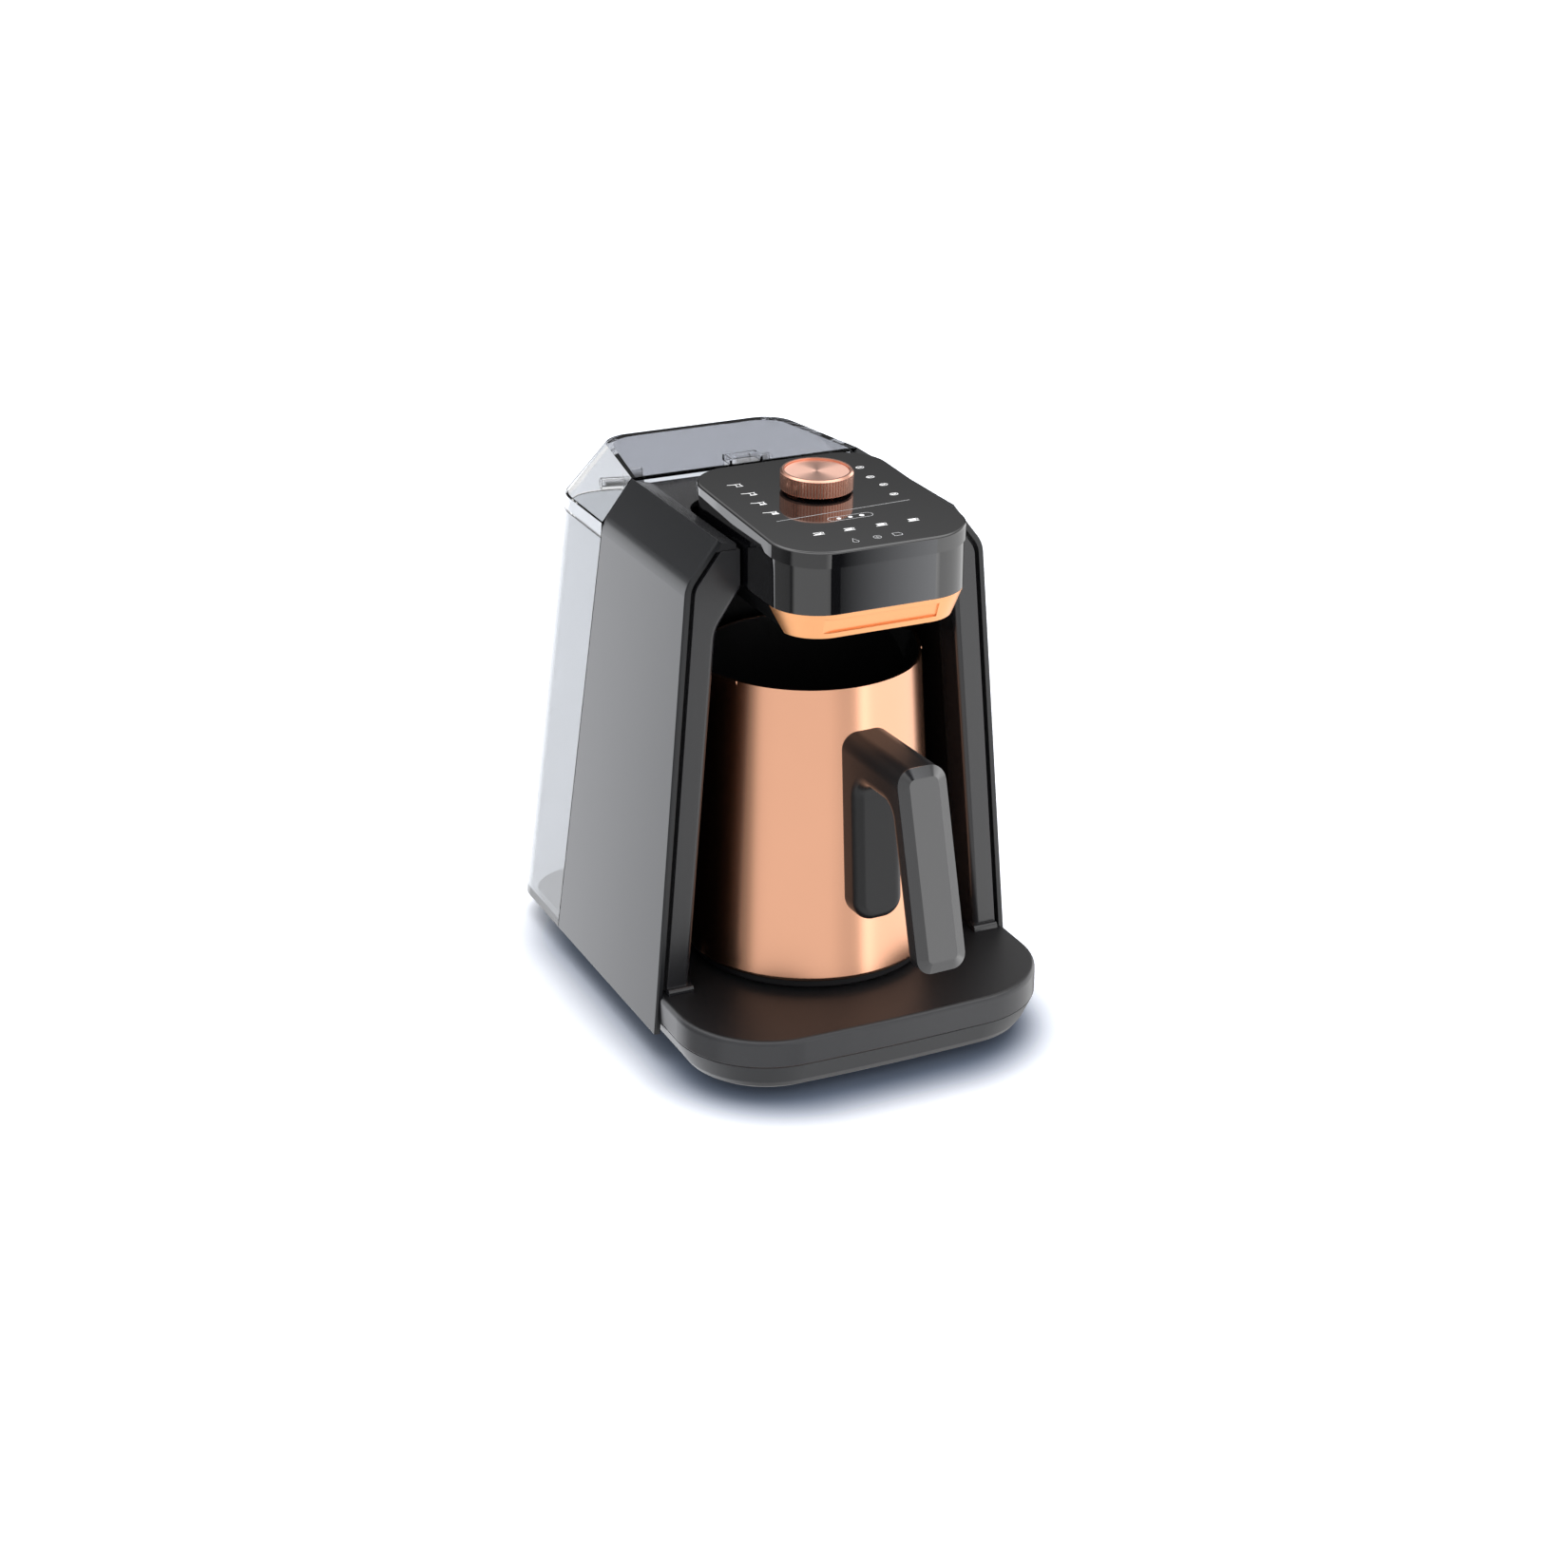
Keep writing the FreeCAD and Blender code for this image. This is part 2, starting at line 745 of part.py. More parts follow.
def head_plan(inset="0", front="head_front_y", grow_rear="0"):
    """Rounded outline of the head seen from above."""
    return [(f"head_half_width - ({inset})", f"-{front} + ({inset})", f"head_front_radius - ({inset})"),
            (f"head_half_width - ({inset})", f"head_rear_y - ({inset}) + {grow_rear}",
             f"head_rear_radius - ({inset})"),
            (f"-head_half_width + ({inset})", f"head_rear_y - ({inset}) + {grow_rear}",
             f"head_rear_radius - ({inset})"),
            (f"-head_half_width + ({inset})", f"-{front} + ({inset})", f"head_front_radius - ({inset})")]


def cavity_liner():
    body = new_body("cavity_liner")
    prism(body, "y", cavity_outline("liner_wall"), "column_depth", "cavity_rear_y + liner_wall")
    carve(body, "y", cavity_outline("0"), "column_depth", "cavity_rear_y")
    carve(body, "z", head_plan("head_inset - 0.1"), "skirt_z", "neck_z + liner_wall + 1")
    return body


def top_cover():
    body = new_body("top_cover")
    half = [(bevel_x("cover_under_z", "panel_wall"), "cover_under_z"),
            ridge("panel_wall"),
            ("cover_edge_half_width", "cover_top_z")]
    prism(body, "y", both_sides(half), "cover_front_y", "seam_top_y")
    slot = [("cover_edge_half_width", "-1"),
            ("cover_edge_half_width", "head_rear_y + cover_trough", "cover_slot_radius"),
            ("-cover_edge_half_width", "head_rear_y + cover_trough", "cover_slot_radius"),
            ("-cover_edge_half_width", "-1")]
    carve(body, "z", slot, "cover_under_z - 1", "cover_top_z + 1")
    return body


def rear_wall():
    body = new_body("rear_wall")
    half = [(skin_x("parting_z", "panel_wall"), "parting_z"),
            bend("panel_wall"),
            (bevel_x("cover_under_z", "panel_wall"), "cover_under_z")]
    prism(body, "y", both_sides(half), "cavity_rear_y", "seam_foot_y")
    cut_behind_seam(body, "0")
    carve(body, "x", [
        ("cavity_rear_y - 1", "panel_foot_z"),
        ("seam_foot_y - liner_wall", "panel_foot_z"),
        ("seam_top_y - liner_wall", "tank_joint_z"),
        ("seam_top_y - liner_wall", "ridge_z"),
        ("cavity_rear_y - 1", "ridge_z"),
    ], "-foot_half_width", "foot_half_width")
    return body


# Base

def deck_plan(inset, rear_half_width, rear_y):
    """Bowed front with round corners, and a narrower part between the side panels."""
    half = f"deck_half_width - ({inset})"
    front = f"-deck_reach + ({inset})"
    shoulder = f"-deck_shoulder_y - ({inset})"
    corner = f"deck_corner_radius - ({inset})"
    return [("0", f"{front} - deck_bow", "deck_bow_radius"),
            (half, front, corner),
            (half, shoulder),
            (f"{rear_half_width}", shoulder),
            (f"{rear_half_width}", rear_y),
            (f"-({rear_half_width})", rear_y),
            (f"-({rear_half_width})", shoulder),
            (f"-({half})", shoulder),
            (f"-({half})", front, corner)]


def screw_places():
    return [(x, y) for y in ("-screw_front_y", "screw_rear_y") for x in ("screw_x", "-screw_x")]


def base_deck():
    body = new_body("base_deck")
    rear_half = skin_x("deck_top_z", "panel_wall + 0.1")
    prism(body, "z", deck_plan("0", rear_half, "deck_rear_y"), "parting_z + parting_gap", "deck_top_z")

    def top_front(edge):
        p = middle(edge)
        return near(p.z, "deck_top_z") and p.y < -size("deck_shoulder_y") - 0.01
    round_edges(body, "deck_edge_radius", top_front)
    carve(body, "z", deck_plan("deck_wall", f"{rear_half} - deck_wall", "deck_rear_y - deck_wall"),
          "parting_z", "deck_under_z")
    carve(body, "z", round_loop("0", "pot_y", "plate_radius + plate_gap"), "parting_z", "deck_top_z + 1")
    carve(body, "z", round_loop(hose_low_x(), "hose_y", "hose_radius + 0.6"), "parting_z", "deck_top_z + 1")
    for x, y in screw_places():
        prism(body, "z", [round_loop(x, y, "screw_boss_radius"), round_loop(x, y, "screw_radius")],
              "shell_inside_z", "deck_under_z")
    return body


def shell_plan(inset):
    """Hull of the base seen from above, with the bowed front and the round rear corners."""
    half = f"deck_half_width - ({inset})"
    front, rear = f"-deck_reach + ({inset})", f"tank_seat_rear_y - ({inset})"
    front_corner, rear_corner = f"deck_corner_radius - ({inset})", f"tank_seat_radius - ({inset})"
    return [("0", f"{front} - deck_bow", "deck_bow_radius"), (half, front, front_corner),
            (half, rear, rear_corner), (f"-({half})", rear, rear_corner), (f"-({half})", front, front_corner)]


def base_shell():
    """Hull that tapers in towards the floor, with the seat for the tank behind."""
    body = new_body("base_shell")
    rear_half = skin_x("parting_z", "panel_wall + 0.1")
    step_y = seam_y("parting_z")
    sections = [(shell_plan("0"), "parting_z")]
    steps = 3
    for step in range(steps + 1):
        angle = f"(shell_lean + (90 - shell_lean) * {step} / {steps}) * 1 deg"
        sections.append((shell_plan(f"shell_round_inset - shell_edge_radius * cos({angle})"),
                         f"shell_floor_z + shell_edge_radius * (1 - sin({angle}))"))
    loft(body, sections[::-1])
    rear_end = "tank_seat_rear_y + 1"
    carve(body, "z", [("-foot_half_width", step_y), ("foot_half_width", step_y),
                      ("foot_half_width", rear_end), ("-foot_half_width", rear_end)],
          "tank_seat_z", "parting_z + 1")
    for side in (1, -1):
        strip = [("foot_half_width", "-deck_shoulder_y"), ("foot_half_width", rear_end),
                 ("tank_seat_half_width", rear_end), ("tank_seat_half_width", step_y),
                 (rear_half, step_y), (rear_half, "-deck_shoulder_y")]
        carve(body, "z", mirrored_x(strip, side), "shell_floor_z - 1", "parting_z + 1")

    def inside(inset):
        return deck_plan(inset, f"{rear_half} - ({inset})", f"{step_y} - shell_wall")
    loft(body, [(inside("shell_wall + shell_inner_taper"), "shell_inside_z"),
                (inside("shell_wall"), "parting_z")], cut=True)
    carve(body, "z", round_loop("-pump_x", "socket_y", "socket_radius"), "socket_floor_z", "parting_z")
    carve(body, "y", round_loop("-pump_x", "socket_z", "hose_radius + hose_gap"),
          f"{step_y} - shell_wall - 1", "socket_y")
    carve(body, "y", round_loop("gland_x", "gland_z", "gland_radius"),
          "tank_seat_rear_y - gland_seat", "tank_seat_rear_y + 1")
    for x, y in screw_places():
        carve(body, "z", round_loop(x, y, "screw_head_radius"), "shell_floor_z - 1",
              "shell_floor_z + screw_head_height")
        carve(body, "z", round_loop(x, y, "screw_radius"), "shell_floor_z", "shell_inside_z + 1")
    return body


def rubber_feet():
    places = [(x, y) for y in ("-foot_pad_front_y", "foot_pad_rear_y") for x in ("foot_pad_x", "-foot_pad_x")]
    pads = [drum(x, y, "0", "foot_pad_radius - 1", "shell_floor_z", "foot_pad_radius") for x, y in places]
    return compound("rubber_feet", pads)


def base_screws():
    pieces = []
    for x, y in screw_places():
        head = drum(x, y, "shell_floor_z", "screw_head_radius", "screw_head_height")
        shank = drum(x, y, "shell_floor_z", "screw_radius", "screw_head_height + screw_grip")
        pieces.append(fuse([head, shank]))
    return compound("base_screws", pieces)


# Heating

def heating_plate():
    body = new_body("heating_plate", y="pot_y")
    revolve(body, [("0", "plate_under_z"),
                   ("plate_radius + plate_flange", "plate_under_z"),
                   ("plate_radius + plate_flange", "deck_under_z"),
                   ("plate_radius", "deck_under_z"),
                   ("plate_radius", "deck_top_z"),
                   ("0", "deck_top_z")])
    return body


def heater_element():
    """Bent tube under the plate, open at the back, with its two leads turned down."""
    tube = doc.addObject("Part::Torus", "Tube")
    tube.setExpression("Radius1", bound("element_ring_radius"))
    tube.setExpression("Radius2", bound("element_tube_radius"))
    tube.setExpression("Angle3", bound("element_turn"))
    tube.Placement = Placement(Vector(0, 0, 0), Rotation(Vector(0, 0, 1), 110))
    tube.setExpression("Placement.Base.y", bound("pot_y - origin_shift"))
    tube.setExpression("Placement.Base.z", bound("plate_under_z - element_tube_radius"))
    leads = []
    for end in ("110", "110 + element_turn"):
        lead = drum(f"element_ring_radius * cos(({end}) * 1 deg)",
                    f"pot_y + element_ring_radius * sin(({end}) * 1 deg)",
                    "plate_under_z - element_tube_radius - element_lead",
                    "element_tube_radius", "element_lead")
        leads.append(lead)
    element = fuse([tube] + leads)
    element.Label = "heater_element"
    nodes.append(element)
    return element


def thermostat():
    body = new_body("thermostat", y="pot_y")
    prism(body, "z", round_loop("0", "0", "thermostat_radius"), "plate_under_z - thermostat_height",
          "plate_under_z")
    prism(body, "z", [("-thermostat_radius - 4", "-3"), ("thermostat_radius + 4", "-3"),
                      ("thermostat_radius + 4", "3"), ("-thermostat_radius - 4", "3")],
          "plate_under_z - 1.2", "plate_under_z")
    return body


# Head

def head_housing():
    body = new_body("head_housing")
    prism(body, "z", head_plan("head_inset"), "head_floor_z", "panel_front_z + 10")
    carve(body, "z", head_plan("head_inset + head_wall"), "head_floor_z + head_floor_wall",
          "panel_front_z + 11")
    rim_z = "band_under_z - 0.05"
    ends = [("-head_front_y - 5", f"{rim_z} - joint_slope * 5"),
            ("head_rear_y + 5", f"{rim_z} + joint_slope * (head_rear_y + head_front_y + 5)"),
            ("head_rear_y + 5", "panel_front_z + 12"),
            ("-head_front_y - 5", "panel_front_z + 12")]
    carve(body, "x", ends, "-head_half_width", "head_half_width")
    carve(body, "z", [round_loop("-nozzle_x", "nozzle_y", "nozzle_radius + 0.05")],
          "head_floor_z - 1", "head_floor_z + head_floor_wall + 1")
    carve(body, "x", round_loop("hose_y", "hose_head_z", "hose_radius + hose_gap"),
          "-head_half_width", "-head_half_width + head_inset + head_wall + 1")
    return body


def skirt_sections(inset):
    return [(head_plan(f"head_inset + {inset}"), "head_floor_z"),
            (head_plan(f"head_inset + skirt_taper + {inset}"), "skirt_z")]


def steam_hood():
    body = new_body("steam_hood")
    loft(body, skirt_sections("trim_wall + 0.03"))
    carve(body, "z", head_plan("skirt_taper + trim_wall + hood_inset"), "skirt_z - 1", "skirt_z + hood_depth")
    carve(body, "z", [round_loop("-nozzle_x", "nozzle_y", "nozzle_radius")], "skirt_z", "head_floor_z + 1")
    carve(body, "z", [round_loop("sensor_x", "sensor_y", "sensor_radius")], "skirt_z",
          "skirt_z + sensor_height")
    return body


def spout_trim():
    body = new_body("spout_trim")
    loft(body, skirt_sections("0"))
    loft(body, skirt_sections("trim_wall"), cut=True)
    carve(body, "x", [("-trim_end_y", "head_floor_z + 1"),
                      ("-trim_end_y - trim_end_rake", "skirt_z - 1"),
                      ("head_rear_y + 1", "skirt_z - 1"),
                      ("head_rear_y + 1", "head_floor_z + 1")], "-head_half_width", "head_half_width")
    slope = "skirt_taper / (head_floor_z - skirt_z)"

    def trim_front(z):
        return f"(-head_front_y + head_inset + (head_floor_z - ({z})) * {slope})"
    low, high = "trim_band_low_z", "trim_band_high_z"
    carve(body, "x", [(f"{trim_front(low)} - 1", low),
                      (f"{trim_front(low)} + trim_band_depth", low),
                      (f"{trim_front(high)} + trim_band_depth", high),
                      (f"{trim_front(high)} - 1", high)],
          "-trim_band_left", "trim_band_right")
    return body


def control_panel():
    body = new_body("control_panel", y="knob_y", z="knob_z", tilt="panel_tilt")
    half, front, rear = "head_half_width", "-head_front_y - knob_y", "head_rear_y - knob_y"
    plan = [(half, front, "head_front_radius"), (half, rear, "head_rear_radius"),
            (f"-{half}", rear, "head_rear_radius"), (f"-{half}", front, "head_front_radius")]
    prism(body, "z", plan, "-band_height - 1", "0")
    carve(body, "x", [(f"{front} - 1", "-band_height - 2"),
                      (f"{front} - 1", "-band_height - band_taper"),
                      (f"{rear} + 1", f"-band_height + band_taper * ({rear} - ({front}) + 1)"),
                      (f"{rear} + 1", "-band_height - 2")], "-head_half_width - 1", "head_half_width + 1")
    round_edges(body, "band_edge_radius", lambda edge: abs(middle(edge).z) < 0.01)
    carve(body, "z", round_loop("0", "0", "bush_radius + 0.05"), "-band_height - 1", "1")
    return body


def control_board():
    body = new_body("control_board", y="knob_y", z="knob_z", tilt="panel_tilt")
    prism(body, "z", [("-board_half_width", "-board_front_y"), ("board_half_width", "-board_front_y"),
                      ("board_half_width", "board_rear_y"), ("-board_half_width", "board_rear_y")],
          "-board_top_depth - board_wall", "-board_top_depth")
    return body


def encoder_body():
    body = new_body("encoder_body", y="knob_y", z="knob_z", tilt="panel_tilt")
    square = [("-encoder_half_width", "-encoder_half_width"), ("encoder_half_width", "-encoder_half_width"),
              ("encoder_half_width", "encoder_half_width"), ("-encoder_half_width", "encoder_half_width")]
    prism(body, "z", square, "-board_top_depth", "-encoder_top_depth")
    prism(body, "z", round_loop("0", "0", "bush_radius"), "-encoder_top_depth", "0")
    carve(body, "z", round_loop("0", "0", "shaft_radius + shaft_gap"), "-board_top_depth + 1", "1")
    return body


def switch_plunger():
    body = new_body("switch_plunger", y="knob_y", z="knob_z", tilt="panel_tilt")
    prism(body, "z", round_loop("0", "0", "plunger_radius"), "-plunger_top_depth - plunger_height",
          "-plunger_top_depth")
    return body


def knob_shaft():
    body = new_body("knob_shaft", y="knob_y", z="knob_z", tilt="panel_tilt")
    prism(body, "z", round_loop("0", "0", "shaft_radius"), "-plunger_top_depth",
          "knob_gap + knob_hollow_depth")
    return body


def knob_sleeve():
    """Knurled ring with a hub inside it and a seat for the face disc."""
    body = new_body("knob_sleeve", y="knob_y", z="knob_z", tilt="panel_tilt")
    seat = "knob_top - knob_face_drop - knob_face_wall"
    hollow = "knob_radius - knob_wall"
    roof = "knob_gap + knob_hollow_depth"
    revolve(body, [("knob_radius - 0.6", "knob_gap"),
                   ("knob_radius", "knob_gap + 0.6"),
                   ("knob_radius", "knob_top - 0.8"),
                   ("knob_radius - 0.8", "knob_top"),
                   ("knob_radius - knob_rim", "knob_top"),
                   ("knob_radius - knob_rim", seat),
                   ("0", seat),
                   ("0", roof),
                   (hollow, roof),
                   (hollow, "knob_gap")])
    prism(body, "z", [round_loop("0", "0", "knob_hub_radius"), round_loop("0", "0", "shaft_radius")],
          "knob_gap", roof)
    half_notch = "pi * knob_radius / knurl_count * 0.5"
    notch = [("knob_radius - knurl_depth", "0"),
             ("knob_radius + 0.2", f"-{half_notch}"),
             ("knob_radius + 0.2", half_notch)]
    groove = carve(body, "z", notch, "knob_gap + 0.6", "knob_top - 0.8")
    ring_pattern(body, groove, "knurl_count")
    return body


def knob_face():
    body = new_body("knob_face", y="knob_y", z="knob_z", tilt="panel_tilt")
    foot = "knob_top - knob_face_drop - knob_face_wall"
    top = "knob_top - knob_face_drop"
    edge = "knob_radius - knob_rim - knob_face_gap"
    revolve(body, [("0", foot), (edge, foot), (edge, f"{top} - 0.2"), (f"{edge} - 0.2", top), ("0", top)])
    return body


# Water path

def water_nozzle():
    body = new_body("water_nozzle", y="nozzle_y", x="-nozzle_x")
    revolve(body, [("nozzle_bore", "nozzle_tip_z"),
                   ("nozzle_radius - 0.9", "nozzle_tip_z"),
                   ("nozzle_radius", "nozzle_tip_z + 2"),
                   ("nozzle_radius", "nozzle_top_z"),
                   ("0", "nozzle_top_z"),
                   ("0", "nozzle_top_z - 2"),
                   ("nozzle_bore", "nozzle_top_z - 2")])
    return body


def overflow_sensor():
    body = new_body("overflow_sensor", y="sensor_y", x="sensor_x")
    revolve(body, [("0", "skirt_z + hood_depth - sensor_proud"),
                   ("sensor_radius - 0.8", "skirt_z + hood_depth - sensor_proud"),
                   ("sensor_radius", "skirt_z + hood_depth"),
                   ("sensor_radius", "skirt_z + sensor_height"),
                   ("0", "skirt_z + sensor_height")])
    return body


def water_pump():
    body = new_body("water_pump", x="-pump_x", z="pump_z")
    prism(body, "y", round_loop("0", "0", "pump_radius"), "pump_front_y", "pump_rear_y")
    foot = [("-pump_radius * 0.8", "shell_inside_z - pump_z"), ("pump_radius * 0.8", "shell_inside_z - pump_z"),
            ("pump_radius * 0.8", "0"), ("-pump_radius * 0.8", "0")]
    prism(body, "y", foot, "pump_front_y + 8", "pump_front_y + 16")
    return body


def hose_low_x():
    """Centre of the hose where it passes through the deck, midway between liner and skin."""
    inner = f"({column_x('deck_top_z')} + liner_wall)"
    outer = skin_x("deck_top_z", "panel_wall")
    return f"-(({inner} + {outer}) / 2)"


def pipe(label, route, radius, bend_radius):
    """Round tube along straight runs joined by tangent arcs."""
    points = [Vector(*[size(part) for part in place]) for place in route]
    edges = []
    start = points[0]
    for before, corner, after in zip(points, points[1:], points[2:]):
        first, last, centre, _ = corner_arc(before, corner, after, bend_radius)
        mid = centre + (corner - centre).normalize() * bend_radius
        edges.append(Part.LineSegment(start, first).toShape())
        edges.append(Part.Arc(first, mid, last).toShape())
        start = last
    edges.append(Part.LineSegment(start, points[-1]).toShape())
    path = Part.Wire(edges)
    along = (points[1] - points[0]).normalize()
    rim = Part.Wire([Part.Circle(points[0], along, radius).toShape()])
    tube = path.makePipeShell([rim], True, False)
    print(f"{label}: length {path.Length:.1f} mm, bend radius {bend_radius:.1f} mm, "
          f"volume ratio {tube.Volume / (math.pi * radius ** 2 * path.Length):.4f}")
    feature = doc.addObject("Part::Feature", label)
    feature.Label = label
    feature.Shape = tube
    feature.setExpression("Placement.Base.y", bound("0 - origin_shift"))
    nodes.append(feature)
    return feature


def delivery_hose():
    """From the pump up between liner and skin, over the arch and into the head."""
    high_x = f"-((({column_x('arch_z')} + liner_wall) + {skin_x('arch_z', 'panel_wall')}) / 2)"
    rise = f"(({hose_low_x()}) - ({high_x})) / (arch_z - deck_top_z)"
    low_x = f"(({hose_low_x()}) + ({rise}) * (deck_top_z - pump_z - 6))"
    top_x = f"(({high_x}) - ({rise}) * (hose_head_z - arch_z))"
    route = [("-pump_x", "pump_front_y", "pump_z"),
             ("-pump_x", "hose_y", "pump_z"),
             (low_x, "hose_y", "pump_z + 6"),
             (top_x, "hose_y", "hose_head_z"),
             ("-nozzle_x", "hose_y", "hose_head_z"),
             ("-nozzle_x", "nozzle_y + nozzle_radius", "hose_head_z")]
    return pipe("delivery_hose", route, size("hose_radius"), size("hose_bend_radius"))


def supply_hose():
    body = new_body("supply_hose", x="-pump_x", z="socket_z")
    prism(body, "y", round_loop("0", "0", "hose_radius"), "pump_rear_y", "socket_y - socket_radius")
    return body


def tank_socket():
    """Cup that takes the tank's spigot, with the pin that opens its valve."""
    body = new_body("tank_socket", y="socket_y", x="-pump_x")
    inside = "socket_radius - socket_wall"
    ledge = "tank_seat_z - seal_drop - seal_height"
    floor = "socket_floor_z + socket_wall"
    revolve(body, [("0", "socket_floor_z"),
                   ("socket_radius", "socket_floor_z"),
                   ("socket_radius", "tank_seat_z"),
                   (inside, "tank_seat_z"),
                   (inside, ledge),
                   ("spigot_radius + seal_gap * 2", ledge),
                   ("spigot_radius + seal_gap * 2", floor),
                   ("pin_radius", floor),
                   ("pin_radius", "poppet_foot_z - pin_gap - 0.5"),
                   ("pin_radius - 0.5", "poppet_foot_z - pin_gap"),
                   ("0", "poppet_foot_z - pin_gap")])
    return body


def socket_seal():
    body = new_body("socket_seal", y="socket_y", x="-pump_x")
    inside = "spigot_radius + seal_gap"
    low, high = "tank_seat_z - seal_drop - seal_height", "tank_seat_z - seal_drop"
    revolve(body, [(inside, f"{low} + 0.5"), (f"{inside} + 0.4", low), ("socket_radius - socket_wall", low),
                   ("socket_radius - socket_wall", high), (f"{inside} + 0.4", high),
                   (inside, f"{high} - 0.5")])
    return body


# Electrical parts

def power_board():
    """Circuit board on four posts behind the cavity, with its larger components."""
    body = new_body("power_board")
    board_back = "power_board_y + board_wall"
    prism(body, "y", [("-power_half_width", "power_low_z"), ("power_half_width", "power_low_z"),
                      ("power_half_width", "power_high_z"), ("-power_half_width", "power_high_z")],
          "power_board_y", board_back)
    for x in ("-power_half_width + 5", "power_half_width - 5"):
        for z in ("power_low_z + 5", "power_high_z - 5"):
            prism(body, "y", round_loop(x, z, "power_standoff_radius"),
                  "cavity_rear_y + liner_wall", "power_board_y")
    blocks = [("-30", "8", "26", "20", "9"), ("6", "10", "14", "14", "8"), ("26", "30", "10", "16", "6")]
    for x, z, wide, tall, deep in blocks:
        prism(body, "y", [(x, f"power_low_z + {z}"), (f"{x} + {wide}", f"power_low_z + {z}"),
                          (f"{x} + {wide}", f"power_low_z + {z} + {tall}"),
                          (x, f"power_low_z + {z} + {tall}")], board_back, f"{board_back} + {deep}")
    return body


def cord_gland():
    body = new_body("cord_gland", x="gland_x", z="gland_z")
    prism(body, "y", [round_loop("0", "0", "gland_radius"), round_loop("0", "0", "gland_bore")],
          "tank_seat_rear_y - gland_seat", "tank_seat_rear_y - gland_seat + gland_length")
    return body


# Water tank

def tank_plan(z, inset="0"):
    """Outline of the tank at height z, flush with the side skin."""
    half = skin_x(z, inset)
    front = f"({seam_y(z)} + seam_gap + ({inset}))"
    rear = f"(tank_rear_foot_y - tank_rear_lean * (({z}) - panel_foot_z) - ({inset}))"
    return [(half, front), (half, rear, f"tank_corner_radius - ({inset})"),
            (f"-({half})", rear, f"tank_corner_radius - ({inset})"), (f"-({half})", front)]


def hinge_lug(body, inner_x, outer_x, side):
    """Ear on the tank's rear wall that holds one hinge pin."""
    low, high = (inner_x, outer_x) if side > 0 else (f"-({outer_x})", f"-({inner_x})")
    prism(body, "x", [("hinge_y - hinge_radius", "tank_joint_z - 4"),
                      ("tank_rear_top_y", "tank_joint_z - 4"),
                      ("tank_rear_top_y", "hinge_z"),
                      ("hinge_y - hinge_radius", "hinge_z")], low, high)
    prism(body, "x", round_loop("hinge_y", "hinge_z", "hinge_radius"), low, high)
    carve(body, "x", round_loop("hinge_y", "hinge_z", "hinge_pin_radius"), low, high)


def tank_shell():
    body = new_body("tank_shell")
    loft(body, [(tank_plan("tank_floor_z"), "tank_floor_z"), (tank_plan("tank_joint_z"), "tank_joint_z")])
    loft(body, [(tank_plan("tank_inside_z", "tank_wall"), "tank_inside_z"),
                (tank_plan("tank_joint_z", "tank_wall"), "tank_joint_z")], cut=True)
    carve(body, "z", round_loop("-pump_x", "socket_y", "spigot_radius"), "tank_floor_z - 1", "tank_inside_z + 1")
    for side in (1, -1):
        hinge_lug(body, "lug_inner_x", "lug_inner_x + lug_width", side)
    return body


def tank_grip():
    """Loop on the inside of the tank's rear wall, rising to the front, to lift the tank by."""
    body = new_body("tank_grip")

    def wall_y(z):
        return f"(tank_rear_foot_y - tank_rear_lean * (({z}) - panel_foot_z) - tank_wall)"
    high = "tank_joint_z - grip_top_drop"
    low = f"{high} - grip_height"
    front = "tank_rear_top_y - tank_wall - grip_reach"
    rear = "tank_rear_top_y + 5"
    inner_half = "grip_half_width - grip_bar"
    prism(body, "x", [(wall_y(low), low), (wall_y(high), high), (front, f"{high} + grip_rise"),
                      (front, f"{low} + grip_rise")], "-grip_half_width", "grip_half_width")
    hole = [(inner_half, rear), (inner_half, f"{front} + grip_bar", "grip_radius - grip_bar"),
            (f"-({inner_half})", f"{front} + grip_bar", "grip_radius - grip_bar"), (f"-({inner_half})", rear)]
    carve(body, "z", hole, "tank_joint_z - 30", "tank_joint_z + 20")
    for side in (1, -1):
        corner = [("grip_half_width + 1", f"{front} - 1"), ("grip_half_width + 1", f"{front} + grip_radius"),
                  ("grip_half_width", f"{front} + grip_radius"), ("grip_half_width", front, "grip_radius - 0.1"),
                  ("grip_half_width - grip_radius", front), ("grip_half_width - grip_radius", f"{front} - 1")]
        carve(body, "z", mirrored_x(corner, side), "tank_joint_z - 30", "tank_joint_z + 20")
    return body


def valve_body():
    body = new_body("valve_body", y="socket_y", x="-pump_x")
    foot = "tank_floor_z - spigot_drop"
    revolve(body, [("valve_bore", foot),
                   ("spigot_radius - 0.6", foot),
                   ("spigot_radius", f"{foot} + 0.6"),
                   ("spigot_radius", "tank_inside_z"),
                   ("spigot_flange_radius", "tank_inside_z"),
                   ("spigot_flange_radius", "strainer_foot_z"),
                   ("valve_bore", "strainer_foot_z"),
                   ("valve_bore", "poppet_foot_z"),
                   ("valve_seat_bore", "poppet_foot_z"),
                   ("valve_seat_bore", "valve_seat_z"),
                   ("valve_bore", "valve_seat_z")])
    return body


